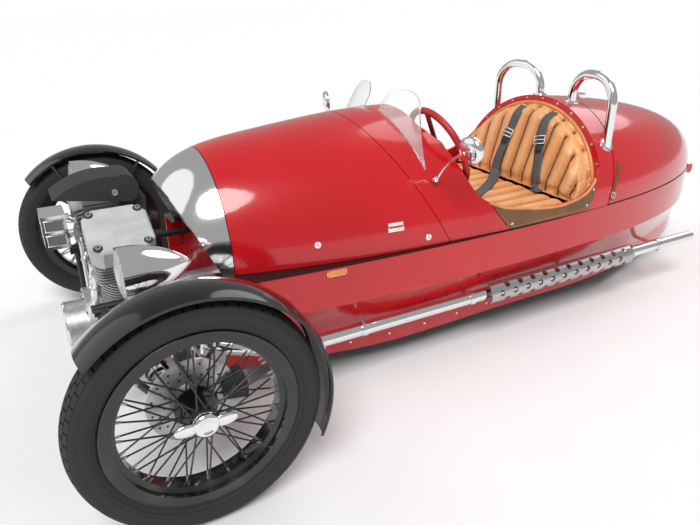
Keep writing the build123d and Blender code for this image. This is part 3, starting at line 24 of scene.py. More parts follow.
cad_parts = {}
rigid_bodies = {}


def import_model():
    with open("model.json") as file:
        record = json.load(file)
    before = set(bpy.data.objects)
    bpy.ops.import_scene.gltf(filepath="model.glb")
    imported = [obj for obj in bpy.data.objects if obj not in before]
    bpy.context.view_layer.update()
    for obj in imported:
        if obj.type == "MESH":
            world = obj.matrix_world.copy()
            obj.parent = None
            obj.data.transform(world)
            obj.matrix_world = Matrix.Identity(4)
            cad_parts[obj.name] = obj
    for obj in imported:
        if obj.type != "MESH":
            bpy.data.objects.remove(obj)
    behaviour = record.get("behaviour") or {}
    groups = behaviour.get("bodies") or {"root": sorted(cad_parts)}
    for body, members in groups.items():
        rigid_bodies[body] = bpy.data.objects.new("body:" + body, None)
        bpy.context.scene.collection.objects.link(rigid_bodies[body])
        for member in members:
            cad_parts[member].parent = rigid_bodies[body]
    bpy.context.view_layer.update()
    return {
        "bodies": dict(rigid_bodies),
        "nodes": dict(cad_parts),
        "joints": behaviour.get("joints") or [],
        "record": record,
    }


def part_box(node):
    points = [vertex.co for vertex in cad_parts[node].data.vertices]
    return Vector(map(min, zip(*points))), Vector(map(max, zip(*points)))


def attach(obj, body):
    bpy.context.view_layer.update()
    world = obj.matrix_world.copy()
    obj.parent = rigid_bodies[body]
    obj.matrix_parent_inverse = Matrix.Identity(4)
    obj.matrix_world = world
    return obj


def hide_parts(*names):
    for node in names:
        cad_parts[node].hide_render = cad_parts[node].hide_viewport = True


LOG = logging.getLogger("three_wheeler")
MM = 0.001
LEFT, RIGHT = 1, -1
SIDE_NAMES = {LEFT: "left", RIGHT: "right"}
AHEAD, ACROSS, UP = Vector((1, 0, 0)), Vector((0, 1, 0)), Vector((0, 0, 1))
# Points closer than this are one point, and rays that feel for a flank start this far out
MERGE = 0.00002
OUTSIDE = 1.2

Point = Sequence[float]
Row = Sequence[float]
Hit = tuple[Vector, Vector]
Colour = tuple[float, float, float]
Mesh = bmesh.types.BMesh
Material = bpy.types.Material


class Socket:
    """A shader value whose operators add Math nodes to its material."""

    def __init__(self, recipe: Recipe, socket: bpy.types.NodeSocket) -> None:
        """Keep the recipe and the socket that it wraps."""
        self.recipe = recipe
        self.socket = socket

    def math(self, operation: str, *others: Socket | float, first: float | None = None) -> Socket:
        """Add one Math node.

        Args:
            operation: The Math node's operation.
            others: Its further inputs.
            first: A number that goes in before this socket, for the reflected difference.

        Returns:
            The node's result.
        """
        inputs = ([] if first is None else [first]) + [self, *others]
        return self.recipe.node("ShaderNodeMath", {"operation": operation}, *inputs)

    def __add__(self, other: Socket | float) -> Socket:
        """Sum."""
        return self.math("ADD", other)

    def __sub__(self, other: Socket | float) -> Socket:
        """Difference."""
        return self.math("SUBTRACT", other)

    def __rsub__(self, other: float) -> Socket:
        """Difference from a number."""
        return self.math("SUBTRACT", first=other)

    def __mul__(self, other: Socket | float) -> Socket:
        """Product."""
        return self.math("MULTIPLY", other)

    __radd__ = __add__
    __rmul__ = __mul__

    def abs(self) -> Socket:
        """Size without sign."""
        return self.math("ABSOLUTE")

    def sin(self) -> Socket:
        """Sine of an angle in radians."""
        return self.math("SINE")

    def fract(self) -> Socket:
        """Fractional part."""
        return self.math("FRACT")

    def ramp(self, low: float, high: float) -> Socket:
        """Smooth step from 0 at low to 1 at high; low may be the larger."""
        return self.recipe.node("ShaderNodeMapRange", {"interpolation_type": "SMOOTHSTEP"}, self, low, high)


class Recipe:
    """One material, or the world, under construction."""

    def __init__(self, owner: Material | bpy.types.World, shader: str = "Principled BSDF") -> None:
        """Start from an owner's plain shader.

        Args:
            owner: The new material or world.
            shader: The name of the shader that it starts with.
        """
        owner.use_nodes = True
        self.owner = owner
        self.tree = owner.node_tree
        self.shader = self.tree.nodes[shader]

    def node(self, kind: str, settings: dict, *values: object, out: int | str = 0, **named: object) -> Socket:
        """Add a node.

        Args:
            kind: The node's type.
            settings: Its properties, set before its inputs.
            values: Values or links for its inputs, in order; None leaves one alone.
            out: Which output to return.
            named: Values or links for inputs by name, with _ for a space.

        Returns:
            The chosen output.
        """
        node = self.tree.nodes.new(kind)
        for key, value in settings.items():
            setattr(node, key, value)
        for target, value in zip(node.inputs, values):
            self.feed(target, value)
        for name, value in named.items():
            self.feed(node.inputs[name.replace("_", " ")], value)
        return Socket(self, node.outputs[out])

    def feed(self, target: bpy.types.NodeSocket, value: object) -> None:
        """Link or set one input, or leave it alone for None."""
        if value is None:
            return
        if isinstance(value, Socket):
            self.tree.links.new(value.socket, target)
        elif target.type == "RGBA" and len(value) == 3:
            target.default_value = (*value, 1)
        else:
            target.default_value = value

    def place(self, name: str = "Object") -> Socket:
        """Texture coordinates, from the object's own frame unless named otherwise."""
        return self.node("ShaderNodeTexCoord", {}, out=name)

    def stretched(self, scale: Point) -> Socket:
        """Object coordinates scaled along each axis, for streaks."""
        return self.node("ShaderNodeMapping", {}, self.place(), Scale=scale)

    def axes(self, vector: Socket | None = None) -> tuple[Socket, Socket, Socket]:
        """The three parts of a vector, which is the place unless given."""
        split = self.node("ShaderNodeSeparateXYZ", {}, vector or self.place())
        outputs = split.socket.node.outputs
        return tuple(Socket(self, outputs[i]) for i in range(3))

    def noise(self, scale: float, detail: float = 3, vector: Socket | None = None) -> Socket:
        """Smooth noise from 0 to 1."""
        vector = vector or self.place()
        return self.node("ShaderNodeTexNoise", {}, Vector=vector, Scale=scale, Detail=detail, out="Fac")

    def cells(self, scale: float, feature: str = "F1") -> Socket:
        """Distance pattern of scattered cells."""
        settings = {"feature": feature}
        return self.node("ShaderNodeTexVoronoi", settings, Vector=self.place(), Scale=scale, out="Distance")

    def blend(self, share: Socket | float, first: object, second: object) -> Socket:
        """A colour between two colours, whose sockets stand after those of numbers and vectors."""
        skipped = [None] * 5
        return self.node("ShaderNodeMix", {"data_type": "RGBA"}, share, *skipped, first, second, out=2)

    def bump(self, height: Socket, distance: float, strength: float, normal: Socket | None = None) -> Socket:
        """A normal tilted by a height field.

        Args:
            height: Height from 0 to 1.
            distance: What a height of 1 measures, in metres.
            strength: How much of the tilt is kept.
            normal: A normal to build on.

        Returns:
            The tilted normal.
        """
        inputs = {"Strength": strength, "Distance": distance, "Height": height, "Normal": normal}
        return self.node("ShaderNodeBump", {}, out="Normal", **inputs)

    def finish(self, **inputs: object) -> Material | bpy.types.World:
        """Feed the shader and hand over its owner."""
        for name, value in inputs.items():
            self.feed(self.shader.inputs[name.replace("_", " ")], value)
        return self.owner


@dataclass(frozen=True)
class Finish:
    """A surface finish, with the record's material slot that it stands for."""

    name: str
    slot: str
    colour: Colour
    roughness: float

    def material(self) -> Material:
        """The finish's material, made once."""
        made = bpy.data.materials.get(self.name)
        return made or self.mix(Recipe(bpy.data.materials.new(self.name)))

    def mix(self, recipe: Recipe) -> Material:
        """Build the finish's nodes."""
        raise NotImplementedError

    def toned(self, factor: float, lift: float = 0.0) -> Colour:
        """The finish's colour made darker or lighter."""
        return tuple(min(1.0, c * factor + lift) for c in self.colour)

    def varied(self, recipe: Recipe, amount: float, scale: float) -> Socket:
        """The finish's colour with soft lighter and darker clouds."""
        clouds = recipe.noise(scale, 4).ramp(0.3, 0.7)
        return recipe.blend(clouds, self.toned(1 - amount), self.toned(1 + amount))


@dataclass(frozen=True)
class GlossPaint(Finish):
    """Sprayed paint under a clear coat, with a faint ripple and a film of dust low down."""

    dust: float = 0.1
    dust_colour: Colour = (0.32, 0.28, 0.25)
    seam_height: float | None = None
    # How far from the seam its dark line ends, and where it is fully dark
    seam_reach: tuple[float, float] = (0.0022, 0.0012)
    seam_colour: Colour = (0.004, 0.002, 0.002)

    def mix(self, recipe: Recipe) -> Material:
        """Paint, dust, ripple and the dark shut line that runs along the body."""
        _, _, z = recipe.axes()
        colour = self.varied(recipe, 0.06, 2.2)
        film = recipe.noise(9, 5).ramp(0.45, 0.75) * z.ramp(0.5, 0.1) * self.dust
        colour = recipe.blend(film, colour, self.dust_colour)
        ripple = recipe.bump(recipe.noise(240, 2), 0.00006, 0.35)
        rough = film * 0.5 + (recipe.noise(30, 3) * 0.05 + self.roughness)
        if self.seam_height is not None:
            line = (z - self.seam_height).abs().ramp(*self.seam_reach)
            colour = recipe.blend(line, colour, self.seam_colour)
            ripple = recipe.bump(1 - line, 0.0015, 0.8, ripple)
            rough = rough + line * 0.5
        return recipe.finish(
            Base_Color=colour,
            Roughness=rough,
            Coat_Weight=1.0,
            Coat_Roughness=0.08,
            Specular_IOR_Level=0.2,
            Normal=ripple,
        )


@dataclass(frozen=True)
class SatinPaint(Finish):
    """Powder coat or plain plastic with a fine pebble and a film of dust."""

    grain: float = 0.00008

    def mix(self, recipe: Recipe) -> Material:
        """Even colour with grain and dust."""
        dust = recipe.noise(14, 6).ramp(0.5, 0.85) * 0.12
        colour = recipe.blend(dust, self.varied(recipe, 0.1, 20), self.toned(0.7, 0.03))
        bump = recipe.bump(recipe.noise(900, 2), self.grain, 0.6)
        return recipe.finish(Base_Color=colour, Roughness=dust * 0.6 + self.roughness, Normal=bump)


@dataclass(frozen=True)
class BrightMetal(Finish):
    """Chrome or polished sheet: a mirror with faint wiping marks and specks."""

    def mix(self, recipe: Recipe) -> Material:
        """Mirror with uneven haze."""
        haze = recipe.noise(6, 5).ramp(0.4, 0.8) * 0.05
        wipes = recipe.noise(1, 3, recipe.stretched((40, 400, 90))) * 0.03
        specks = recipe.cells(160).ramp(0.08, 0.02) * 0.2
        bump = recipe.bump(recipe.noise(70, 2), 0.00005, 0.25)
        return recipe.finish(
            Base_Color=self.varied(recipe, 0.05, 5),
            Metallic=1.0,
            Roughness=haze + wipes + specks + self.roughness,
            Normal=bump,
        )


@dataclass(frozen=True)
class BrushedMetal(Finish):
    """Metal rubbed along one direction."""

    def mix(self, recipe: Recipe) -> Material:
        """Long streaks in colour, roughness and height."""
        streaks = recipe.noise(1, 4, recipe.stretched((3, 300, 300)))
        stain = recipe.noise(12, 5).ramp(0.4, 0.8)
        colour = recipe.blend(streaks, self.toned(0.8), self.colour)
        colour = recipe.blend(stain * 0.35, colour, self.toned(0.6))
        return recipe.finish(
            Base_Color=colour,
            Metallic=1.0,
            Roughness=streaks * 0.15 + stain * 0.1 + self.roughness,
            Normal=recipe.bump(streaks, 0.00008, 0.5),
        )


@dataclass(frozen=True)
class CastMetal(Finish):
    """Sand cast alloy or iron with oil stains in scattered patches."""

    def mix(self, recipe: Recipe) -> Material:
        """Grainy metal with darker stains."""
        grain = recipe.noise(500, 4)
        stain = recipe.noise(16, 6).ramp(0.45, 0.8)
        colour = recipe.blend(stain * 0.6, self.varied(recipe, 0.12, 60), self.toned(0.35))
        return recipe.finish(
            Base_Color=colour,
            Metallic=0.85,
            Roughness=stain * 0.25 + self.roughness,
            Normal=recipe.bump(grain, 0.00025, 0.7),
        )


@dataclass(frozen=True)
class Rubber(Finish):
    """Tyre rubber with patches of road dust."""

    dust_colour: Colour = (0.06, 0.056, 0.052)
    skin_colour: Colour = (0.04, 0.04, 0.042)

    def mix(self, recipe: Recipe) -> Material:
        """Dull black with dust and a fine skin."""
        dust = recipe.noise(22, 6).ramp(0.42, 0.78)
        fine = recipe.noise(160, 4)
        colour = recipe.blend(dust * 0.22, self.colour, self.dust_colour)
        return recipe.finish(
            Base_Color=recipe.blend(fine * 0.2, colour, self.skin_colour),
            Roughness=dust * 0.15 + self.roughness,
            Normal=recipe.bump(fine, 0.0002, 0.5),
        )


@dataclass(frozen=True)
class Hide(Finish):
    """Leather with pebbled grain, pores, creases darkened by painted shade, and rubbed lighter places."""

    grain_scale: float = 420

    def mix(self, recipe: Recipe) -> Material:
        """Colour drift, grain, and creases darkened by painted shade."""
        pebble = recipe.cells(self.grain_scale, "SMOOTH_F1")
        crease = recipe.cells(46, "DISTANCE_TO_EDGE").ramp(0.06, 0.0) * recipe.noise(8, 3).ramp(0.4, 0.7)
        rubbed = recipe.noise(5, 5).ramp(0.45, 0.75)
        colour = recipe.blend(rubbed * 0.5, self.varied(recipe, 0.18, 9), self.toned(1.5))
        # Painted shade darkens the creases
        colour = recipe.blend(crease * 0.5, colour, self.toned(0.5))
        bump = recipe.bump(pebble, 0.0004, 0.5, recipe.bump(1 - crease, 0.0005, 0.5))
        rough = pebble * 0.2 + self.roughness - rubbed * 0.08
        return recipe.finish(Base_Color=colour, Roughness=rough, Normal=bump)


@dataclass(frozen=True)
class Webbing(Finish):
    """Woven strap, with its ribs laid by the strap's own UV map."""

    def mix(self, recipe: Recipe) -> Material:
        """Crossed ribs with painted shade in the gaps between them."""
        along, across, _ = recipe.axes(recipe.place("UV"))
        ribs = (along * 2400).sin() * 0.5 + 0.5
        warp = (across * 220).sin() * 0.5 + 0.5
        weave = ribs * 0.6 + warp * 0.4
        # Painted shade darkens the gaps between the ribs
        colour = recipe.blend(weave, self.toned(0.5), self.colour)
        colour = recipe.blend(recipe.noise(40, 4) * 0.2, colour, self.toned(1.5))
        bump = recipe.bump(weave, 0.0004, 0.8)
        return recipe.finish(Base_Color=colour, Roughness=self.roughness, Normal=bump)


@dataclass(frozen=True)
class Clear(Finish):
    """Clear sheet or lamp glass; ribs mould its face in upright flutes."""

    ribs: float = 0.0
    clearness: float = 0.86
    ior: float = 1.46

    def mix(self, recipe: Recipe) -> Material:
        """Transparent body with faint smears."""
        _, y, _ = recipe.axes()
        smear = recipe.noise(18, 5).ramp(0.5, 0.85) * 0.06
        flutes = recipe.bump((y * self.ribs).sin() * 0.5 + 0.5, 0.002, 0.6) if self.ribs else None
        return recipe.finish(
            Base_Color=self.colour,
            Transmission_Weight=self.clearness,
            IOR=self.ior,
            Roughness=smear + self.roughness,
            Normal=flutes,
        )


@dataclass(frozen=True)
class Moulded(Finish):
    """Moulded plastic or coloured lens with a soft orange peel."""

    coat: float = 0.0

    def mix(self, recipe: Recipe) -> Material:
        """Even colour, fine grain."""
        grain = recipe.noise(700, 3)
        return recipe.finish(
            Base_Color=self.varied(recipe, 0.1, 30),
            Roughness=grain * 0.12 + self.roughness,
            Coat_Weight=self.coat,
            Normal=recipe.bump(grain, 0.0001, 0.5),
        )


@dataclass(frozen=True)
class SewnHide(Hide):
    """Leather whose sewn channels follow the piece's own seam attributes, which are in metres, with a painted
    highlight on the channels' crowns and painted shade in their grooves and creases.
    """

    # The painted highlight on the channels' crowns, also the colour of rubbed wear
    crown_colour: Colour = (0.92, 0.52, 0.25)
    # The painted shade in the channels' grooves
    groove_colour: Colour = (0.34, 0.095, 0.022)
    seam_colour: Colour = (0.10, 0.03, 0.01)
    thread_colour: Colour = (0.80, 0.62, 0.42)
    stitches_a_metre: float = 160
    stitch_offset: float = 0.0052

    def mix(self, recipe: Recipe) -> Material:
        """Grain, dark seam lines and a row of stitches along each, with a painted highlight on the crowns and
        painted shade in the grooves and creases.
        """
        seam = recipe.node("ShaderNodeAttribute", {"attribute_name": "seam"}, out="Fac")
        run = recipe.node("ShaderNodeAttribute", {"attribute_name": "run"}, out="Fac")
        pebble = recipe.cells(self.grain_scale, "SMOOTH_F1")
        crease = recipe.noise(1, 4, recipe.stretched((60, 60, 14))).ramp(0.5, 0.75)
        rubbed = recipe.noise(6, 5).ramp(0.42, 0.75)
        # Painted highlight on each channel's crown, away from its seams
        crown = seam.ramp(0.010, 0.030)
        # Painted shade in the grooves beside each seam
        groove_shade = seam.ramp(0.013, 0.002)
        line = seam.ramp(0.0048, 0.0010)
        step = (run * self.stitches_a_metre).fract()
        dashes = step.ramp(0.18, 0.30) * (1 - step.ramp(0.78, 0.9))
        stitch = (seam - self.stitch_offset).abs().ramp(0.0011, 0.0005) * dashes
        # Rubbed wear and the crowns' painted highlight lighten the colour
        colour = recipe.blend(rubbed * 0.25 + crown * 0.55, self.varied(recipe, 0.12, 8), self.crown_colour)
        # Painted shade darkens the grooves
        colour = recipe.blend(groove_shade * 0.6, colour, self.groove_colour)
        # Painted shade darkens the creases
        colour = recipe.blend(crease * 0.25, colour, self.toned(0.6))
        colour = recipe.blend(line * 0.85, colour, self.seam_colour)
        colour = recipe.blend(stitch * 0.8, colour, self.thread_colour)
        bump = recipe.bump(pebble, 0.0004, 0.45, recipe.bump(crease, 0.0012, 0.35))
        bump = recipe.bump(stitch, 0.0008, 0.8, recipe.bump(1 - line, 0.0016, 0.8, bump))
        rough = pebble * 0.2 + (self.roughness - rubbed * 0.06) + line * 0.3
        return recipe.finish(Base_Color=colour, Roughness=rough, Normal=bump)


RED = GlossPaint("red_body_paint", "body_red", (0.56, 0.005, 0.010), 0.25, seam_height=0.478)
BLACK_GLOSS = GlossPaint("black_guard_paint", "black_paint", (0.004, 0.004, 0.0045), 0.16, dust=0.12)
BLACK_SATIN = SatinPaint("black_frame_coat", "black_frame", (0.016, 0.016, 0.017), 0.42)
CHROME = BrightMetal("chrome", "chrome", (0.90, 0.90, 0.91), 0.07)
POLISHED = BrightMetal("polished_cowl", "chrome", (0.80, 0.80, 0.81), 0.12)
MIRROR_GLASS = BrightMetal("mirror_glass", "chrome", (0.93, 0.94, 0.95), 0.0)
STEEL = BrushedMetal("brushed_steel", "steel", (0.60, 0.60, 0.60), 0.24)
ALLOY = CastMetal("cast_alloy", "aluminium", (0.60, 0.60, 0.61), 0.36)
IRON = CastMetal("cast_iron", "iron", (0.10, 0.10, 0.10), 0.5)
COVER_GREY = SatinPaint("rocker_grey", "engine_grey", (0.50, 0.51, 0.52), 0.3)
BLACK_PLASTIC = SatinPaint("black_plastic", "black_plastic", (0.018, 0.018, 0.019), 0.45, grain=0.00015)
TYRE_RUBBER = Rubber("tyre_rubber", "rubber", (0.016, 0.016, 0.017), 0.72)
TAN_HIDE = Hide("tan_hide", "tan_leather", (0.66, 0.27, 0.085), 0.36)
SEWN_TAN = SewnHide("sewn_tan_hide", "tan_leather", (0.72, 0.27, 0.075), 0.30)
BROWN_HIDE = Hide("brown_hide", "brown_leather", (0.16, 0.075, 0.03), 0.5, grain_scale=300)
RED_HIDE = Hide("red_rim_hide", "wheel_rim", (0.42, 0.012, 0.016), 0.34)
BELT = Webbing("belt_webbing", "webbing", (0.12, 0.12, 0.125), 0.6)
SCREEN = Clear("clear_screen", "clear", (0.97, 0.98, 0.98), 0.0)
LAMP_GLASS = Clear("fluted_lamp_glass", "lamp_glass", (0.97, 0.98, 0.98), 0.02, ribs=500)
PORCELAIN = Moulded("porcelain", "lamp_glass", (0.82, 0.80, 0.74), 0.2, coat=0.8)
AMBER = Moulded("amber_lens", "amber", (0.95, 0.27, 0.02), 0.15, coat=0.6)
RED_LENS = Moulded("red_lens", "red_lens", (0.42, 0.006, 0.006), 0.12, coat=0.6)
DIAL = Moulded("dial_black", "dial", (0.02, 0.02, 0.022), 0.3, coat=0.3)

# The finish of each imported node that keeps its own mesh, by the record's slot
SLOT_FINISHES = {
    finish.slot: finish
    for finish in (
        RED, BLACK_GLOSS, BLACK_SATIN, CHROME, STEEL, ALLOY, IRON, COVER_GREY, BLACK_PLASTIC, TYRE_RUBBER,
        TAN_HIDE, BROWN_HIDE, RED_HIDE, BELT, SCREEN, LAMP_GLASS, AMBER, RED_LENS, DIAL,
    )
}


class Shading(Enum):
    """How a piece's faces meet: the angle in degrees past which an edge is sharp."""

    SOFT = 60
    CRISP = 32
    FACETED = 12


@dataclass
class Workshop:
    """Turns finished bmeshes into pieces of the car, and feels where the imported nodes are."""

    frame: dict
    made: int = 0

    def piece(
        self,
        name: str,
        mesh: Mesh,
        finish: Finish,
        body: str = "chassis",
        replaces: Iterable[str] = (),
        shading: Shading = Shading.CRISP,
        wall: float = 0.0,
    ) -> bpy.types.Object:
        """Make one piece.

        Args:
            name: The piece's name.
            mesh: Its bmesh, which is used up.
            finish: Its surface.
            body: The moving body that it rides on.
            replaces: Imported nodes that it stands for.
            shading: How its faces meet.
            wall: Sheet thickness added on the inside, if any.

        Returns:
            The new object.
        """
        bmesh.ops.remove_doubles(mesh, verts=mesh.verts, dist=MERGE)
        bmesh.ops.recalc_face_normals(mesh, faces=mesh.faces)
        data = bpy.data.meshes.new(name)
        mesh.to_mesh(data)
        mesh.free()
        data.shade_smooth()
        data.set_sharp_from_angle(angle=math.radians(shading.value))
        thing = bpy.data.objects.new(name, data)
        bpy.context.scene.collection.objects.link(thing)
        data.materials.append(finish.material())
        if wall:
            sheet = thing.modifiers.new("wall", "SOLIDIFY")
            sheet.thickness, sheet.offset = wall, -1
            sheet.use_even_offset = True
        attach(thing, body)
        if replaces:
            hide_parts(*replaces)
        self.made += 1
        LOG.info("%s on %s, %d faces", name, body, len(data.polygons))
        return thing

    def dress_nodes(self) -> None:
        """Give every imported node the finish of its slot."""
        for part in self.frame["record"]["subparts"]:
            finish = SLOT_FINISHES[part["material_slot"]]
            thing = self.frame["nodes"][part["node"]]
            thing.data.materials.clear()
            thing.data.materials.append(finish.material())

    def outermost(self, nodes: Iterable[str], start: Point, way: Vector) -> Hit | None:
        """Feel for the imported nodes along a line.

        Args:
            nodes: The nodes that count.
            start: Where the line starts, outside all of them.
            way: Its direction.

        Returns:
            The first point met and the outward direction there, or None.
        """
        best, start = None, Vector(start)
        for node in nodes:
            hit, place, normal, _ = self.frame["nodes"][node].ray_cast(start, way)
            if hit and (best is None or (place - start).length < (best[0] - start).length):
                best = (place, normal if normal.dot(way) < 0 else -normal)
        return best

    def flank(self, nodes: Iterable[str], x: float, z: float, side: int) -> Hit | None:
        """The outermost point of some nodes and its outward direction at an x and height on one flank."""
        return self.outermost(nodes, (x, side * OUTSIDE, z), -side * ACROSS)


def shift(x: float, y: float, z: float) -> Matrix:
    """A move without a turn."""
    return Matrix.Translation((x, y, z))


def frame_of(origin: Point, x: Vector, z: Vector) -> Matrix:
    """The frame at a point with the given X and Z axes, which stand square to each other."""
    return Matrix.Translation(origin) @ Matrix((x, z.cross(x), z)).transposed().to_4x4()


def frame_along(start: Point, end: Point) -> Matrix:
    """A place halfway between two points, with its Z axis along them."""
    start, end = Vector(start), Vector(end)
    turn = (end - start).to_track_quat("Z", "Y").to_matrix().to_4x4()
    return Matrix.Translation((start + end) / 2) @ turn


def facing_out(place: Vector, normal: Vector) -> Matrix:
    """The frame of a spot on a surface, with Z out of it."""
    return Matrix.Translation(place) @ normal.to_track_quat("Z", "X").to_matrix().to_4x4()


def level_on(place: Vector, normal: Vector) -> Matrix:
    """The frame of a spot on an upright surface, with Z out of it and X level along it."""
    return frame_of(place, UP.cross(normal).normalized(), normal)


def on_circle(place: Matrix, count: int, radius: float, first: float = 0.0) -> list[Matrix]:
    """Frames evenly spaced on a circle in a place's XY plane, from a first angle in radians."""
    turns = [first + math.tau * index / count for index in range(count)]
    return [place @ shift(radius * math.cos(turn), radius * math.sin(turn), 0) for turn in turns]


def add_rod(
    mesh: Mesh,
    start: Point,
    end: Point,
    radius: float,
    tip: float | None = None,
    sides: int = 16,
) -> None:
    """Add a round rod or cone between two points, with closed ends."""
    bmesh.ops.create_cone(
        mesh,
        cap_ends=True,
        segments=sides,
        radius1=radius,
        radius2=radius if tip is None else tip,
        depth=(Vector(end) - Vector(start)).length,
        matrix=frame_along(start, end),
    )


def add_stud(
    mesh: Mesh,
    place: Matrix,
    low: float,
    high: float,
    radius: float,
    tip: float | None = None,
    sides: int = 20,
) -> None:
    """Add a rod or cone along a place's Z axis, between two heights."""
    add_rod(mesh, place @ (UP * low), place @ (UP * high), radius, tip, sides)


def add_block(mesh: Mesh, place: Matrix, size: Point, edge: float = 0.0) -> None:
    """Add a block of a size at a place, with its edges rounded if asked."""
    made = bmesh.ops.create_cube(mesh, size=1, matrix=place @ Matrix.Diagonal((*size, 1)))
    if edge:
        edges = list({e for v in made["verts"] for e in v.link_edges})
        bmesh.ops.bevel(mesh, geom=edges, offset=edge, affect="EDGES", segments=2, profile=0.5, material=-1)


def add_blocks(mesh: Mesh, place: Matrix, rows: Iterable[Row]) -> Mesh:
    """Add the blocks of some rows, which are measured in a place's frame, and hand the mesh back."""
    for x, y, z, length, width, thickness, edge in rows:
        add_block(mesh, place @ shift(x, y, z), (length, width, thickness), edge)
    return mesh


def border(
    wide: float, tall: float, bar: float, thickness: float, edge: float, laps: tuple[float, float]
) -> list[Row]:
    """Two level and two upright bars round an opening.

    Args:
        wide: The opening's width, between the bars' middles.
        tall: Its height.
        bar: The bars' width.
        thickness: Their thickness.
        edge: Their rounding.
        laps: How much longer the level and the upright bars are than the opening.

    Returns:
        The bars as rows of blocks.
    """
    level = [(0, y, 0, wide + laps[0], bar, thickness, edge) for y in (-tall / 2, tall / 2)]
    upright = [(x, 0, 0, bar, tall + laps[1], thickness, edge) for x in (-wide / 2, wide / 2)]
    return level + upright


def spun(profile: Sequence[Point], centre: Point, axis: Point, steps: int = 64) -> Mesh:
    """Turn a profile once round an axis.

    Args:
        profile: Points as distance along the axis and radius.
        centre: A point of the axis, where the distance is 0.
        axis: The axis's direction.
        steps: Faces round the axis.

    Returns:
        A new bmesh.
    """
    mesh = bmesh.new()
    axis = Vector(axis).normalized()
    across = axis.orthogonal().normalized()
    centre = Vector(centre)
    verts = [mesh.verts.new(centre + axis * along + across * radius) for along, radius in profile]
    edges = [mesh.edges.new(pair) for pair in zip(verts, verts[1:])]
    bmesh.ops.spin(
        mesh,
        geom=[*verts, *edges],
        cent=centre,
        axis=axis,
        angle=math.tau,
        steps=steps,
        use_merge=True,
        use_duplicate=False,
    )
    bmesh.ops.remove_doubles(mesh, verts=mesh.verts, dist=MERGE)
    return mesh


def add_tube(mesh: Mesh, line: Sequence[Point], radius: float, sides: int = 12) -> Mesh:
    """Add a tube along a line of points, with closed ends, and hand the mesh back."""
    points = [Vector(p) for p in line]
    rings = []
    across = (points[1] - points[0]).orthogonal().normalized()
    for before, point, after in zip(points[:1] + points, points, points[1:] + points[-1:]):
        way = (after - before).normalized()
        across = (across - way * across.dot(way)).normalized()
        place = frame_of(point, across, way)
        ring = bmesh.ops.create_circle(mesh, segments=sides, radius=radius, matrix=place)
        rings.append(list({e for v in ring["verts"] for e in v.link_edges}))
    for first, second in zip(rings, rings[1:]):
        bmesh.ops.bridge_loops(mesh, edges=[*first, *second])
    for ring in (rings[0], rings[-1]):
        bmesh.ops.contextual_create(mesh, geom=ring)
    return mesh


def eased(points: Sequence[Point], steps: int) -> list[Vector]:
    """A smooth line through points, in cubic spans of some steps each."""
    knots = [Vector(p) for p in points]
    knots = [knots[0] * 2 - knots[1], *knots, knots[-1] * 2 - knots[-2]]
    line = []
    for a, b, c, d in zip(knots, knots[1:], knots[2:], knots[3:]):
        for step in range(steps):
            t = step / steps
            bend = (a * 2 - b * 5 + c * 4 - d) * t**2 + (b * 3 - a - c * 3 + d) * t**3
            line.append((b * 2 + (c - a) * t + bend) / 2)
    return [*line, knots[-2]]


def combined(meshes: Iterable[Mesh]) -> Mesh:
    """Join several bmeshes in one, and free them."""
    whole = bmesh.new()
    for mesh in meshes:
        data = bpy.data.meshes.new("joined")
        mesh.to_mesh(data)
        mesh.free()
        whole.from_mesh(data)
        bpy.data.meshes.remove(data)
    return whole


def add_stitches(mesh: Mesh, hits: Sequence[Hit], pitch: float) -> None:
    """Sew a row of small raised stitches along points of a surface, given with its outward directions."""
    lift, share, radius = 0.0006, 0.32, 0.0008
    for (start, outward), (end, _) in zip(hits, hits[1:]):
        span = end - start
        half = span.normalized() * pitch * share
        count = max(1, round(span.length / pitch))
        for stitch in range(count):
            middle = start + span * ((stitch + 0.5) / count) + outward * lift
            add_rod(mesh, middle - half, middle + half, radius, sides=6)


def crosswise(line: Sequence[Vector], facings: Sequence[Vector]) -> list[Vector]:
    """The direction of a strap's width at each point of its middle line, from the way that its face looks."""
    steps = zip(line[:1] + line, line[1:] + line[-1:])
    return [face.cross(after - before).normalized() for face, (before, after) in zip(facings, steps)]


def strap(line: Sequence[Vector], across: Sequence[Vector], width: float) -> Mesh:
    """A flat strap along a line, with its UV map in metres along and shares across.

    Args:
        line: Points of its middle.
        across: The direction of its width at each point.
        width: Its width.

    Returns:
        A new bmesh.
    """
    last = len(line) - 1
    runs = [0.0]
    for start, end in zip(line, line[1:]):
        runs.append(runs[-1] + (end - start).length)
    mesh = bmesh.new()
    bmesh.ops.create_grid(mesh, x_segments=last, y_segments=4, size=0.5)
    uv = mesh.loops.layers.uv.new("UVMap")
    for face in mesh.faces:
        for loop in face.loops:
            index = round((loop.vert.co.x + 0.5) * last)
            loop[uv].uv = (runs[index], loop.vert.co.y + 0.5)
    for vert in mesh.verts:
        index = round((vert.co.x + 0.5) * last)
        vert.co = line[index] + across[index].normalized() * vert.co.y * width
    return mesh


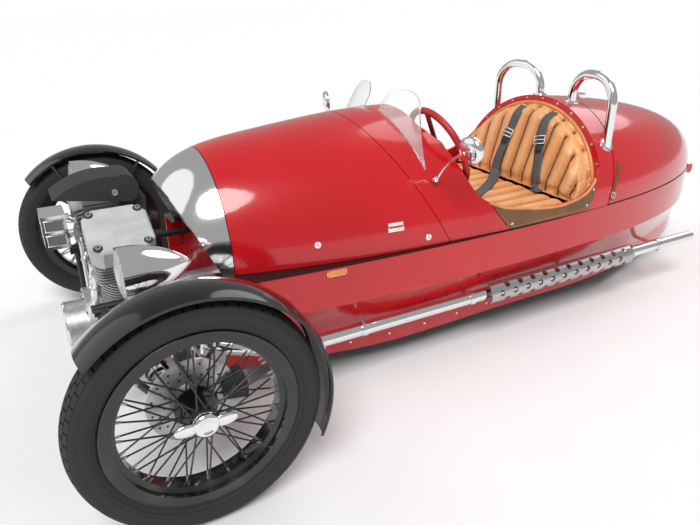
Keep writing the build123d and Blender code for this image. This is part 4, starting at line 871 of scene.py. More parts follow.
@dataclass
class Bench:
    """The pleated bench seat, its back, and a lap and shoulder belt for each of two people."""

    voxel: float = 0.007
    pressure: float = 4
    blow_frames: int = 20
    swell_cap: float = 0.011
    inset: float = 0.007
    pleat_pitch: float = 0.074
    pleat_depth: float = 0.019
    pleat_fan: float = 0.35
    pleat_power: float = 0.55
    # How squarely a face has to look the pads' way before its pleats start, and the span to their full depth
    pleat_start: tuple[float, float] = (0.15, 0.5)
    off_face: float = 0.05
    back_foot: tuple[float, float] = (-0.438, 0.505)
    back_head: tuple[float, float] = (-0.556, 0.845)
    # The back's rear face: its x at the split height and its lean
    back_rear: tuple[float, float] = (-0.5475, 0.214)
    rear_margin: float = 0.03
    split_height: float = 0.478
    back_half: float = 0.417
    back_height: float = 0.364
    back_drop: float = 0.006
    foot_margin: float = 0.004
    back_edge: float = 0.022
    sharp_turn: float = 0.9
    cushion_low: Point = (-0.466, -0.382, 0.4005)
    cushion_high: Point = (-0.040, 0.382, 0.496)
    cushion_edge: float = 0.026
    cushion_margin: float = 0.02
    cushion_facing: Point = (0.55, 0, 0.83)
    belt_width: float = 0.047
    belt_sheet: float = 0.0024
    belt_lift: float = 0.005
    belt_reach: float = 0.2
    # The shares of a belt's width at which it feels for the pad under it
    feelers: tuple[float, ...] = (-0.4, 0.0, 0.4)
    belt_bend: float = 0.53
    belt_level: float = 0.5
    # Each belt's line on the back, as y and height, then on the cushion, as x and y
    driver_belt: tuple = (
        ((0.106, 0.828), (0.118, 0.750), (0.141, 0.655), (0.172, 0.560), (0.194, 0.515)),
        ((-0.435, 0.205), (-0.405, 0.210)),
    )
    guest_belt: tuple = (
        ((-0.058, 0.826), (-0.072, 0.745), (-0.084, 0.653), (-0.090, 0.570), (-0.086, 0.520)),
        ((-0.370, -0.010), (-0.282, 0.057), (-0.170, 0.125), (-0.110, 0.145)),
    )
    buckle_height: float = 0.705
    buckle_lift: float = 0.006
    buckle_blocks: tuple = (
        *((0, y, 0, 0.062, 0.006, 0.005, 0.0015) for y in (-0.017, 0.0, 0.017)),
        *((x, 0, 0, 0.005, 0.040, 0.006, 0.0015) for x in (-0.029, 0.029)),
    )
    latch_block: tuple = (0, -0.038, 0.001, 0.034, 0.030, 0.010, 0.004)

    def inflate(self, mesh: Mesh, rests: Callable[[Vector], bool]) -> Mesh:
        """Blow a closed form up like a stuffed pad.

        Args:
            mesh: The closed form, which is used up.
            rests: Tells whether a point lies against something and stays flat.

        Returns:
            The padded form, with one subdivision.
        """
        data = bpy.data.meshes.new("pad")
        mesh.to_mesh(data)
        mesh.free()
        pad = bpy.data.objects.new("pad", data)
        bpy.context.scene.collection.objects.link(pad)
        skin = pad.modifiers.new("skin", "REMESH")
        skin.mode, skin.voxel_size = "VOXEL", self.voxel
        flat = self._baked(pad)
        pad.modifiers.clear()
        pad.data = flat
        places = [v.co.copy() for v in flat.vertices]
        stuffing = pad.modifiers.new("stuffing", "CLOTH")
        stuffing.settings.use_pressure = True
        stuffing.settings.uniform_pressure_force = self.pressure
        stuffing.settings.effector_weights.gravity = 0
        stuffing.point_cache.frame_end = self.blow_frames
        for frame_number in range(1, self.blow_frames + 1):
            bpy.context.scene.frame_set(frame_number)
        blown = self._baked(pad)
        pad.modifiers.clear()
        for vert, place, full in zip(flat.vertices, places, blown.vertices):
            swell = full.co - place
            limit = 0.0 if rests(place) else self.swell_cap
            vert.co = place + swell * min(1.0, limit / max(swell.length, 1e-6))
        bpy.context.scene.frame_set(1)
        smooth = pad.modifiers.new("smooth", "SUBSURF")
        smooth.levels = smooth.render_levels = 1
        done = self._baked(pad)
        result = bmesh.new()
        result.from_mesh(done)
        bpy.data.objects.remove(pad)
        return result

    @staticmethod
    def _baked(thing: bpy.types.Object) -> bpy.types.Mesh:
        """The object's mesh with its modifiers applied."""
        graph = bpy.context.evaluated_depsgraph_get()
        return bpy.data.meshes.new_from_object(thing.evaluated_get(graph))

    def pleat(
        self, mesh: Mesh, facing: Vector, fan: float, along: Callable[[Vector], float]
    ) -> None:
        """Press sewn channels into the faces that look one way, and note how far each point is from a seam.

        Args:
            mesh: The pad.
            facing: The way that the pleated faces look.
            fan: How fast the channels spread along their run.
            along: A point's distance along the channels.
        """
        seam_layer = mesh.verts.layers.float.new("seam")
        run_layer = mesh.verts.layers.float.new("run")
        least, span = self.pleat_start
        mesh.normal_update()
        for vert in mesh.verts:
            run = along(vert.co)
            turns = vert.co.y / (1 + fan * run) / self.pleat_pitch
            distance = abs(turns - round(turns)) * self.pleat_pitch
            share = min(1.0, max(0.0, (vert.normal.dot(facing) - least) / span))
            arch = max(0.0, 1 - (1 - 2 * distance / self.pleat_pitch) ** 2) ** self.pleat_power
            vert.co -= vert.normal * self.pleat_depth * (1 - arch) * share
            vert[seam_layer] = distance + (1 - share) * self.off_face
            vert[run_layer] = run

    @property
    def face_normal(self) -> Vector:
        """The direction that the seat back looks."""
        rise = Vector((self.back_head[0] - self.back_foot[0], 0, self.back_head[1] - self.back_foot[1]))
        return Vector((rise.z, 0, -rise.x)).normalized()

    def face_x(self, height: float) -> float:
        """The x of the seat back's face at a height."""
        (x0, z0), (x1, z1) = self.back_foot, self.back_head
        return x0 + (x1 - x0) * (height - z0) / (z1 - z0)

    def rear_x(self, height: float) -> float:
        """The x of the seat back's rear face at a height."""
        x, lean = self.back_rear
        return x - lean * (height - self.split_height)

    def build_back(self, shop: Workshop) -> bpy.types.Object:
        """The arched seat back."""
        mesh = bmesh.new()
        ring = bmesh.ops.create_circle(mesh, cap_ends=True, segments=96, radius=1)
        for vert in ring["verts"]:
            y, z = vert.co.x * (self.back_half - self.inset), vert.co.y * (self.back_height - self.inset)
            vert.co = Vector((0, y, self.split_height + z))
        low = self.back_foot[1] - self.back_drop
        cut = [*mesh.verts, *mesh.edges, *mesh.faces]
        bmesh.ops.bisect_plane(mesh, geom=cut, plane_co=(0, 0, low), plane_no=(0, 0, -1), clear_outer=True)
        body = bmesh.ops.extrude_face_region(mesh, geom=mesh.faces[:])
        rear = {v for v in body["geom"] if isinstance(v, bmesh.types.BMVert)}
        for vert in mesh.verts:
            height = vert.co.z
            vert.co.x = self.rear_x(height) + self.inset if vert in rear else self.face_x(height) - self.inset
        bmesh.ops.recalc_face_normals(mesh, faces=mesh.faces)
        edges = [e for e in mesh.edges if e.is_manifold and e.calc_face_angle(0) > self.sharp_turn]
        bmesh.ops.bevel(
            mesh, geom=edges, offset=self.back_edge, affect="EDGES", segments=4, profile=0.5, material=-1
        )
        pad = self.inflate(
            mesh, lambda p: p.x < self.rear_x(p.z) + self.rear_margin or p.z < low + self.foot_margin
        )
        self.pleat(pad, self.face_normal, self.pleat_fan, lambda p: p.z - self.back_foot[1])
        return shop.piece("seat_back_pad", pad, SEWN_TAN, replaces=["seat_back"], shading=Shading.SOFT)

    def build_cushion(self, shop: Workshop) -> bpy.types.Object:
        """The bench cushion with its rolled front."""
        mesh = bmesh.new()
        low, high = Vector(self.cushion_low), Vector(self.cushion_high)
        size = high - low - Vector((1, 2, 0)) * self.inset
        centre = (low + high) / 2 - AHEAD * (self.inset / 2)
        add_block(mesh, Matrix.Translation(centre), size, self.cushion_edge)
        pad = self.inflate(mesh, lambda p: p.z < low.z + self.cushion_margin)
        self.pleat(pad, Vector(self.cushion_facing), 0.0, lambda p: p.x - low.x + p.z)
        return shop.piece("seat_cushion_pad", pad, SEWN_TAN, replaces=["seat_cushion"], shading=Shading.SOFT)

    def resting(self, pad: bpy.types.Object, place: Vector, outward: Vector) -> Vector:
        """The point where a belt lies on a pad, over the highest pleat under its width."""
        heights = []
        for share in self.feelers:
            start = place + outward * self.belt_reach + ACROSS * (share * self.belt_width)
            hit, spot, _, _ = pad.ray_cast(start, -outward)
            if hit:
                heights.append(self.belt_reach - (start - spot).length)
        return place + outward * max(heights, default=0.0)

    def belt_line(self, belt: tuple, back: bpy.types.Object, cushion: bpy.types.Object) -> list[Vector]:
        """The points where a belt lies on the pads."""
        on_back, on_cushion = belt
        normal = self.face_normal
        spots = [Vector((self.face_x(z), y, z)) for y, z, _ in eased([(*p, 0) for p in on_back], 8)]
        line = [self.resting(back, spot, normal) for spot in spots]
        line += [self.resting(cushion, Vector((x, y, self.belt_level)), UP) for x, y in on_cushion]
        flat = [*line[:1], *[(a + b * 2 + c) / 4 for a, b, c in zip(line, line[1:], line[2:])], line[-1]]
        count = len(spots)
        lifted = [p + (normal if i < count else UP) * self.belt_lift for i, p in enumerate(flat)]
        # Every fourth point down the back is enough to bridge the pleats
        return eased([*lifted[: count - 1 : 4], *lifted[count - 1 :]], 6)

    def build_belt(self, shop: Workshop, name: str, line: list[Vector], replaces: list[str]) -> None:
        """One belt with its buckle."""
        across = crosswise(line, [self.face_normal if p.z > self.belt_bend else UP for p in line])
        webbing = strap(line, across, self.belt_width)
        shop.piece(name, webbing, BELT, replaces=replaces, shading=Shading.SOFT, wall=self.belt_sheet)
        at = min(range(len(line)), key=lambda i: abs(line[i].z - self.buckle_height))
        out = across[at].cross(line[at - 1] - line[at + 1]).normalized()
        level = frame_of(line[at] + out * self.buckle_lift, across[at], out)
        shop.piece(f"{name}_buckle", add_blocks(bmesh.new(), level, self.buckle_blocks), CHROME)
        shop.piece(f"{name}_latch", add_blocks(bmesh.new(), level, [self.latch_block]), BLACK_PLASTIC)

    def build(self, shop: Workshop) -> None:
        """Make the pads and the belts."""
        back = self.build_back(shop)
        cushion = self.build_cushion(shop)
        self.build_belt(shop, "driver_belt", self.belt_line(self.driver_belt, back, cushion), ["seat_belts"])
        self.build_belt(shop, "guest_belt", self.belt_line(self.guest_belt, back, cushion), [])


@dataclass
class CockpitTrim:
    """Leather roll, studs and stitches of the side flaps, and the straps at the lid's corners."""

    flaps: tuple[str, ...] = ("cockpit_flaps",)
    body: tuple[str, ...] = ("cockpit_flaps", "cockpit_surround")
    panels: tuple[str, ...] = ("cockpit_surround", "tail_lid", "cockpit_flaps")
    # Lines along the flank, as x and height in millimetres
    edge: tuple = ((34, 596), (-60, 564), (-290, 532), (-450, 551), (-530, 602))
    hem: tuple = ((-500, 524), (-480, 496), (-76, 489), (-45, 505), (26, 586))
    studs: tuple = ((-62, 504), (-466, 508), (-506, 566))
    strap_line: tuple = ((-697, 640), (-668, 590), (-640, 540), (-622, 500))
    roll: float = 0.0055
    roll_drop: float = 0.004
    # How far the roll's middle lies inward and upward of the flap's edge
    roll_shift: tuple[float, float] = (0.003, 0.002)
    hem_step: float = 0.02
    stitch_pitch: float = 0.006
    # A stud's steps: foot, top, radius and tip radius
    stud_steps: tuple = ((-0.002, 0.002, 0.0065, 0.0062), (0.002, 0.0045, 0.0062, 0.0030))
    strap_width: float = 0.016
    strap_sheet: float = 0.003
    buckle_at: int = -3
    buckle_lift: float = 0.006
    # The buckle's width, height, bar, thickness, rounding and overlaps, and its tongue's block
    buckle: tuple = (0.024, 0.022, 0.003, 0.003, 0.0008, (0.002, 0.002))
    tongue_block: tuple = (0, 0.001, 0.0015, 0.002, 0.022, 0.002, 0.0006)

    @staticmethod
    def line_along(points: Sequence[tuple[float, float]], steps: int) -> list[Vector]:
        """A smooth line through points given as x and height in millimetres."""
        return eased([(x * MM, 0, z * MM) for x, z in points], steps)

    def build_flap(self, shop: Workshop, side: int, word: str) -> None:
        """The leather roll, the sewn hem and the studs of one flap."""
        inward, upward = self.roll_shift
        line = []
        for point in self.line_along(self.edge, 8):
            place, _ = shop.flank(self.body, point.x, point.z - self.roll_drop, side)
            line.append(place + Vector((0, -side * inward, upward)))
        roll = add_tube(bmesh.new(), line, self.roll, 10)
        shop.piece(f"flap_roll_{word}", roll, TAN_HIDE, shading=Shading.SOFT)
        corners = [shop.flank(self.flaps, x * MM, z * MM, side) for x, z in self.hem]
        corners = [hit[0] for hit in corners if hit]
        rows = []
        for start, end in zip(corners, corners[1:]):
            count = max(2, int((end - start).length / self.hem_step))
            rows += [start.lerp(end, index / count) for index in range(count)]
        hits = [shop.flank(self.flaps, p.x, p.z, side) for p in rows]
        sewing = bmesh.new()
        add_stitches(sewing, [hit for hit in hits if hit], self.stitch_pitch)
        shop.piece(f"flap_stitches_{word}", sewing, TAN_HIDE)
        heads = bmesh.new()
        for x, z in self.studs:
            spot = facing_out(*shop.flank(self.body, x * MM, z * MM, side))
            for step in self.stud_steps:
                add_stud(heads, spot, *step)
        shop.piece(f"flap_studs_{word}", heads, CHROME)

    def build_strap(self, shop: Workshop, side: int, word: str) -> None:
        """The buckled leather strap at the lid's corner."""
        hits = [shop.flank(self.panels, p.x, p.z, side) for p in self.line_along(self.strap_line, 4)]
        line = [place + normal * self.strap_sheet for place, normal in hits]
        across = crosswise(line, [normal for _, normal in hits])
        band = strap(line, across, self.strap_width)
        shop.piece(f"lid_strap_{word}", band, BROWN_HIDE, shading=Shading.SOFT, wall=self.strap_sheet)
        place, normal = hits[self.buckle_at]
        level = frame_of(place + normal * self.buckle_lift, across[self.buckle_at], normal)
        buckle = add_blocks(bmesh.new(), level, [*border(*self.buckle), self.tongue_block])
        shop.piece(f"lid_strap_buckle_{word}", buckle, CHROME)

    def build(self, shop: Workshop) -> None:
        """Trim both sides of the cockpit."""
        for side, word in SIDE_NAMES.items():
            self.build_flap(shop, side, word)
            self.build_strap(shop, side, word)


@dataclass
class Engine:
    """Fasteners, covers, plates and meshes of the V twin and what hangs on it."""

    foot: Point = (1.326, 0.0, 0.262)
    tilt: float = 28
    cover_foot: float = 0.390
    cover_height: float = 0.076
    # Crossed blocks of the rocker plate, from the cover's top, and of its gasket, from the cover's foot
    plate_blocks: tuple = (
        (0, 0, -0.0005, 0.112, 0.168, 0.0034, 0.001),
        (0, 0, -0.0005, 0.176, 0.104, 0.0026, 0.0008),
    )
    gasket_blocks: tuple = ((0, 0, 0.005, 0.199, 0.122, 0.003, 0), (0, 0, 0.005, 0.129, 0.192, 0.003, 0))
    # The rocker screws' x and y in the cylinder's frame
    screw_at: tuple[float, float] = (0.074, 0.070)
    # Each disc of a rocker screw: its piece and finish, then foot, top and radius over the cover's top
    screw_discs: tuple = (
        # The black recess and socket discs are painted shade round and in each screw
        ("rocker_recess_shades", BLACK_PLASTIC, -0.001, 0.0006, 0.0150),
        ("rocker_screws", CHROME, 0.0, 0.006, 0.0088),
        ("rocker_socket_shades", BLACK_PLASTIC, 0.0052, 0.0064, 0.0046),
    )
    screw_taper: float = 0.94
    # The pushrod tubes' x and height at either end, in the cylinder's frame, and where the collars sit
    pushrod_ends: tuple = ((0.094, 0.112), (0.086, 0.300))
    pushrod_y: float = 0.024
    pushrod_radius: float = 0.0095
    collar_shares: tuple[float, ...] = (0.02, 0.62, 0.97)
    collar_half: float = 0.006
    collar_radius: float = 0.0125
    # The spark plug's root and way in the cylinder's frame, its nut's length and radius, and its body's
    # end and radii
    plug_root: Point = (0.078, 0.0, 0.352)
    plug_way: Point = (0.75, 0, 0.66)
    plug_nut: tuple[float, float] = (0.012, 0.011)
    plug_body: tuple[float, float, float] = (0.034, 0.0065, 0.0050)
    dome_front: float = 1.519
    dome_profile: tuple = ((-0.001, 0.074), (0.004, 0.073), (0.008, 0.062), (0.010, 0.040), (0.0105, 0.0))
    # Each ring of case bolts: how many, the ring's radius, its x and the bolts' radius
    bolt_rings: tuple = ((8, 0.083, 1.519, 0.0055), (12, 0.111, 1.450, 0.0065))
    bolt_reach: tuple[float, float] = (-0.002, 0.006)
    rib_profile: tuple = ((0, 0.1285), (0.003, 0.1300), (0.006, 0.1285))
    rib_places: tuple[float, ...] = (1.232, 1.325, 1.412)
    # The airbox button's place, and each step's inner and outer y, radius and tip radius
    button_at: tuple[float, float] = (1.300, 0.742)
    button_steps: tuple = ((0.069, 0.074, 0.0105, 0.0105), (0.074, 0.0765, 0.0065, 0.005))
    duct_bands: tuple = (
        (1.212, 0, 0.6504, 0.010, 0.121, 0.121, 0.003),
        (1.252, 0, 0.6528, 0.010, 0.106, 0.107, 0.003),
    )
    breather: tuple = (
        (1.235, 0.060, 0.618), (1.236, 0.088, 0.604), (1.238, 0.094, 0.570), (1.240, 0.088, 0.520),
    )
    breather_radius: float = 0.010
    breather_cap: tuple[Point, Point] = ((1.236, 0.088, 0.606), (1.236, 0.094, 0.630))
    cap_radii: tuple[float, float] = (0.0135, 0.0125)
    cooler: tuple[Point, Point] = ((1.450, -0.215, 0.520), (1.530, -0.095, 0.640))
    windows: tuple = ((0.535, 0.572), (0.588, 0.625))
    front_inset: float = 0.015
    side_inset: float = 0.010
    # Each face's mesh: the gaps between its upright wires and how far out the upright and the level
    # wires lie, then its border's place, bar, thickness, rounding and overlap
    front_face: tuple = (22, -0.010, -0.011, -0.0015, 0.003, 0.005, 0.0008, 0.006)
    side_face: tuple = (16, 0.0012, 0.0018, 0.001, 0.0035, 0.006, 0.001, 0.007)
    wire_rows: int = 9
    wire: float = 0.0007
    backing: float = 0.002
    backing_edge: float = 0.0006
    # Unions at the cooler's back: their y, heights, length and radius
    union_y: float = -0.155
    union_heights: tuple[float, ...] = (0.545, 0.615)
    union_size: tuple[float, float] = (0.014, 0.011)
    # The left damper's lower and upper ends, and the coil that winds round it
    damper: tuple[Point, Point] = ((1.308, 0.560, 0.262), (1.345, 0.300, 0.395))
    coil_radius: float = 0.0325
    coil_wire: float = 0.0048
    coil_foot: float = 0.066
    coil_length: float = 0.178
    coil_turns: int = 8
    coil_steps: int = 180

    def cylinder_place(self, side: int) -> Matrix:
        """The frame of one cylinder: Z along it and X forward."""
        angle = math.radians(self.tilt) * side
        return frame_of(self.foot, AHEAD, Vector((0, math.sin(angle), math.cos(angle))))

    def build_rocker(self, shop: Workshop, side: int, word: str) -> None:
        """Rocker plate, its screws with painted shade in their recesses and sockets, and its gasket on one
        cylinder.
        """
        frame = self.cylinder_place(side)
        top = frame @ shift(0, 0, self.cover_foot + self.cover_height)
        shop.piece(f"rocker_plate_{word}", add_blocks(bmesh.new(), top, self.plate_blocks), COVER_GREY)
        # The black discs are painted shade in the recesses and sockets
        for name, finish, low, high, radius in self.screw_discs:
            discs = bmesh.new()
            for x in (-self.screw_at[0], self.screw_at[0]):
                for y in (-self.screw_at[1], self.screw_at[1]):
                    add_stud(discs, top @ shift(x, y, 0), low, high, radius, radius * self.screw_taper)
            shop.piece(f"{name}_{word}", discs, finish)
        gasket = add_blocks(bmesh.new(), frame @ shift(0, 0, self.cover_foot), self.gasket_blocks)
        shop.piece(f"rocker_gasket_{word}", gasket, BLACK_PLASTIC)

    def build_head(self, shop: Workshop, side: int, word: str) -> None:
        """Pushrod tubes and spark plug of one cylinder."""
        frame = self.cylinder_place(side)
        rods, collars = bmesh.new(), bmesh.new()
        for y in (-self.pushrod_y, self.pushrod_y):
            start, end = (frame @ Vector((x, y, z)) for x, z in self.pushrod_ends)
            add_rod(rods, start, end, self.pushrod_radius, sides=24)
            step = (end - start).normalized() * self.collar_half
            for share in self.collar_shares:
                middle = start.lerp(end, share)
                add_rod(collars, middle - step, middle + step, self.collar_radius, sides=24)
        shop.piece(f"pushrod_tubes_{word}", rods, CHROME)
        shop.piece(f"pushrod_collars_{word}", collars, ALLOY)
        body, nut = bmesh.new(), bmesh.new()
        root, way = Vector(self.plug_root), Vector(self.plug_way).normalized()
        nut_length, nut_radius = self.plug_nut
        tip_at, foot_radius, tip_radius = self.plug_body
        shoulder = frame @ (root + way * nut_length)
        add_rod(nut, frame @ root, shoulder, nut_radius, sides=6)
        add_rod(body, shoulder, frame @ (root + way * tip_at), foot_radius, tip_radius)
        shop.piece(f"plug_hexagon_{word}", nut, STEEL, shading=Shading.FACETED)
        shop.piece(f"plug_body_{word}", body, PORCELAIN)

    def build_case(self, shop: Workshop) -> None:
        """Front dome, its bolts and the crankcase's bolts and ribs."""
        height = self.foot[2]
        dome = spun(self.dome_profile, (self.dome_front, 0, height), AHEAD)
        shop.piece("case_dome", dome, POLISHED, shading=Shading.SOFT)
        bolts = bmesh.new()
        for count, ring_radius, x, radius in self.bolt_rings:
            place = frame_of((x, 0, height), ACROSS, AHEAD)
            for spot in on_circle(place, count, ring_radius, math.pi / count):
                add_stud(bolts, spot, *self.bolt_reach, radius, sides=6)
        shop.piece("case_bolts", bolts, CHROME, shading=Shading.FACETED)
        ribs = combined(spun(self.rib_profile, (x, 0, height), AHEAD, 72) for x in self.rib_places)
        shop.piece("case_ribs", ribs, ALLOY, shading=Shading.SOFT)

    def build_airbox(self, shop: Workshop) -> None:
        """Buttons of the airbox, bands of the intake duct and the breather."""
        button = bmesh.new()
        x, z = self.button_at
        for side in SIDE_NAMES:
            for inner, outer, radius, tip in self.button_steps:
                add_rod(button, (x, side * inner, z), (x, side * outer, z), radius, tip, 28)
        shop.piece("airbox_button", button, CHROME)
        shop.piece("duct_bands", add_blocks(bmesh.new(), Matrix(), self.duct_bands), BLACK_PLASTIC)
        hose = add_tube(bmesh.new(), eased(self.breather, 6), self.breather_radius, 16)
        shop.piece("breather_elbow", hose, BLACK_PLASTIC, shading=Shading.SOFT)
        cap = bmesh.new()
        add_rod(cap, *self.breather_cap, *self.cap_radii, 24)
        shop.piece("breather_cap", cap, RED_LENS)

    def fill_window(
        self,
        wires: Mesh,
        frames: Mesh,
        place: Matrix,
        wide: float,
        tall: float,
        face: tuple,
    ) -> None:
        """Fill one window with crossed wires and frame it.

        Args:
            wires: Where the wires go.
            frames: Where the border goes.
            place: The window's middle, with X level along it, Y up and Z out.
            wide: The window's width.
            tall: Its height.
            face: The row of sizes of the cooler's face.
        """
        columns, upright_out, level_out, border_out, bar, thickness, edge, lap = face
        for index in range(1, columns):
            x = wide * (index / columns - 0.5)
            ends = [place @ Vector((x, y, upright_out)) for y in (-tall / 2, tall / 2)]
            add_rod(wires, *ends, self.wire, sides=6)
        for index in range(1, self.wire_rows):
            y = tall * (index / self.wire_rows - 0.5)
            ends = [place @ Vector((x, y, level_out)) for x in (-wide / 2, wide / 2)]
            add_rod(wires, *ends, self.wire, sides=6)
        bars = border(wide, tall, bar, thickness, edge, (lap, 0))
        add_blocks(frames, place @ shift(0, 0, border_out), bars)

    def build_cooler(self, shop: Workshop) -> None:
        """Mesh in the cooler's windows, its bright frames and its unions."""
        low, high = Vector(self.cooler[0]), Vector(self.cooler[1])
        front_wide = high.y - low.y - 2 * self.front_inset
        side_wide = high.x - low.x - 2 * self.side_inset
        wires, frames, backing = bmesh.new(), bmesh.new(), bmesh.new()
        for bottom, top in self.windows:
            centre, tall = (bottom + top) / 2, top - bottom
            front = frame_of((high.x, (low.y + high.y) / 2, centre), ACROSS, AHEAD)
            self.fill_window(wires, frames, front, front_wide, tall, self.front_face)
            flank = frame_of(((low.x + high.x) / 2, high.y, centre), -AHEAD, ACROSS)
            self.fill_window(wires, frames, flank, side_wide, tall, self.side_face)
            add_block(backing, flank, (side_wide, tall, self.backing), self.backing_edge)
        shop.piece("cooler_backing", backing, BLACK_PLASTIC)
        shop.piece("cooler_mesh", wires, STEEL)
        shop.piece("cooler_frames", frames, CHROME)
        unions = bmesh.new()
        length, radius = self.union_size
        for z in self.union_heights:
            add_rod(unions, (low.x, self.union_y, z), (low.x - length, self.union_y, z), radius, sides=6)
        shop.piece("cooler_unions", unions, CHROME, shading=Shading.FACETED)

    def build_springs(self, shop: Workshop) -> None:
        """Coils wound round each front damper."""
        for side, word in SIDE_NAMES.items():
            low, high = (Vector((x, side * y, z)) for x, y, z in self.damper)
            foot = frame_along(low, high) @ shift(0, 0, self.coil_foot - (high - low).length / 2)
            line = []
            for index in range(self.coil_steps + 1):
                share = index / self.coil_steps
                turn = math.tau * self.coil_turns * share
                around = Vector((math.cos(turn), math.sin(turn), 0)) * self.coil_radius
                line.append(foot @ (around + UP * self.coil_length * share))
            coil = add_tube(bmesh.new(), line, self.coil_wire, 8)
            shop.piece(f"spring_{word}", coil, BLACK_GLOSS, shading=Shading.SOFT)

    def build(self, shop: Workshop) -> None:
        """Dress the engine."""
        for side, word in SIDE_NAMES.items():
            self.build_rocker(shop, side, word)
            self.build_head(shop, side, word)
        self.build_case(shop)
        self.build_airbox(shop)
        self.build_cooler(shop)
        self.build_springs(shop)


@dataclass
class FrontWheel:
    """Treaded tyre, nipples, valve, drilled disc with painted shade in its holes, and winged nut of a front
    wheel.
    """

    axle: Point = (1.2745, 0.795, 0.338)
    crown: float = 0.338
    shoulder: float = 0.325
    tread_half: float = 0.046
    tread_depth: float = 0.0042
    tread_sink: float = 0.0003
    groove_places: tuple[float, ...] = (0.040, 0.028, 0.014, 0.0)
    rows: tuple[float, ...] = (-0.0365, -0.0185, 0.0, 0.0185, 0.0365)
    row_half: float = 0.0074
    blocks: int = 60
    block_share: float = 0.41
    block_lean: float = 0.12
    block_root: float = 0.002
    wall: tuple = (
        (0.0385, 0.2355), (0.0385, 0.259), (0.047, 0.270), (0.0525, 0.283), (0.0539, 0.294), (0.0535, 0.306),
        (0.0505, 0.317), (0.0460, 0.3245),
    )
    # Each moulded ring's distance from the middle, radius and bead
    rings: tuple = ((0.0512, 0.2780, 0.0014), (0.0531, 0.2870, 0.0010), (0.0530, 0.3080, 0.0012))
    bead_turns: tuple[float, ...] = (-1.6, -0.7, 0.0, 0.7, 1.6)
    lip: tuple = ((0.0440, 0.2545), (0.0458, 0.2562), (0.0458, 0.2590), (0.0440, 0.2602), (0.0395, 0.2602))
    spokes: int = 24
    # Spoke rows: the hub end's distance and radius, the rim end's distance, the angle between them
    spoke_rows: tuple = ((0.042, 0.035, 0.009, 28), (-0.036, 0.055, -0.009, 24))
    # A nipple's place as a radius, its length and its two radii
    nipple: tuple = (0.2165, 0.016, 0.0042, 0.0034)
    valve_turn: float = 97
    # The valve's stem and cap: radius and distance of either end, then the thickness
    valve: tuple = ((0.219, 0.0, 0.188, 0.004, 0.0035), (0.193, 0.0033, 0.180, 0.005, 0.0052))
    disc_faces: tuple[float, float] = (-0.0722, -0.0638)
    # Each round of holes, each filled with a black plug of painted shade: its radius and the angle of its
    # first hole
    disc_holes: tuple = ((0.078, 0.0), (0.095, 7.5), (0.111, 15.0))
    holes: int = 16
    hole_radius: float = 0.0036
    # The winged nut: how far out it stands, its profile, and its ears' places and half sizes
    nut_at: float = 0.046
    nut_profile: tuple = (
        (-0.001, 0.036), (0.010, 0.036), (0.017, 0.032), (0.020, 0.026), (0.020, 0.022), (0.0165, 0.019),
        (0.0165, 0.007), (0.0185, 0.0),
    )
    ear_at: tuple[float, float] = (0.050, 0.0095)
    ear_size: Point = (0.034, 0.0068, 0.0185)

    def crown_at(self, y: float) -> float:
        """The tread's outer radius at a distance from the middle."""
        return self.crown - (self.crown - self.shoulder) * (y / self.tread_half) ** 2 - self.tread_sink

    def at(self, side: int, degrees: float = 0, radius: float = 0, y: float = 0) -> Vector:
        """A point of the wheel from its angle, radius and distance outward."""
        angle = math.radians(degrees)
        x0, y0, z0 = self.axle
        return Vector((x0 + radius * math.cos(angle), side * (y0 + y), z0 + radius * math.sin(angle)))

    def both_sides(self, profile: Sequence[Point], side: int) -> list[Mesh]:
        """A profile spun round the wheel on its outer side and on its inner side."""
        return [spun([(way * y, r) for y, r in profile], self.at(side), (0, side, 0), 96) for way in (1, -1)]

    def add_tread(self, mesh: Mesh, side: int) -> None:
        """Add the rows of staggered, slanted blocks."""
        pitch = 360 / self.blocks
        for index, row in enumerate(self.rows):
            for block in range(self.blocks):
                middle = (block + 0.5 * (index % 2)) * pitch
                made = bmesh.ops.create_cube(mesh, size=1)
                for vert in made["verts"]:
                    lean = vert.co.y * self.block_lean * (1 if index % 2 else -1)
                    turn = middle + pitch * self.block_share * (2 * vert.co.x + lean)
                    y = row + 2 * self.row_half * vert.co.y
                    sunk = 0 if vert.co.z > 0 else self.tread_depth + self.block_root
                    vert.co = self.at(side, turn, self.crown_at(y) - sunk, y)

    def tyre_mesh(self, side: int) -> Mesh:
        """Carcass with ring mouldings and the tread."""
        half = [*self.wall, *[(y, self.crown_at(y) - self.tread_depth) for y in self.groove_places]]
        profile = [*half, *[(-y, r) for y, r in reversed(half[:-1])]]
        parts = [spun(profile, self.at(side), (0, side, 0), 96)]
        for y, radius, bead in self.rings:
            ring = [(y + bead * math.cos(t), radius + bead * 2 * math.sin(t)) for t in self.bead_turns]
            parts += self.both_sides(ring, side)
        tread = bmesh.new()
        self.add_tread(tread, side)
        return combined([*parts, tread])

    def nut_mesh(self, side: int) -> Mesh:
        """Dished nut with two rounded ears."""
        centre = self.at(side, y=self.nut_at)
        nut = spun(self.nut_profile, centre, (0, side, 0), 48)
        reach, out = self.ear_at
        for ear in (-1, 1):
            place = Matrix.Translation(centre + Vector((ear * reach, side * out, 0)))
            shape = place @ Matrix.Diagonal((*self.ear_size, 1))
            bmesh.ops.create_uvsphere(nut, u_segments=32, v_segments=16, radius=1, matrix=shape)
        return nut

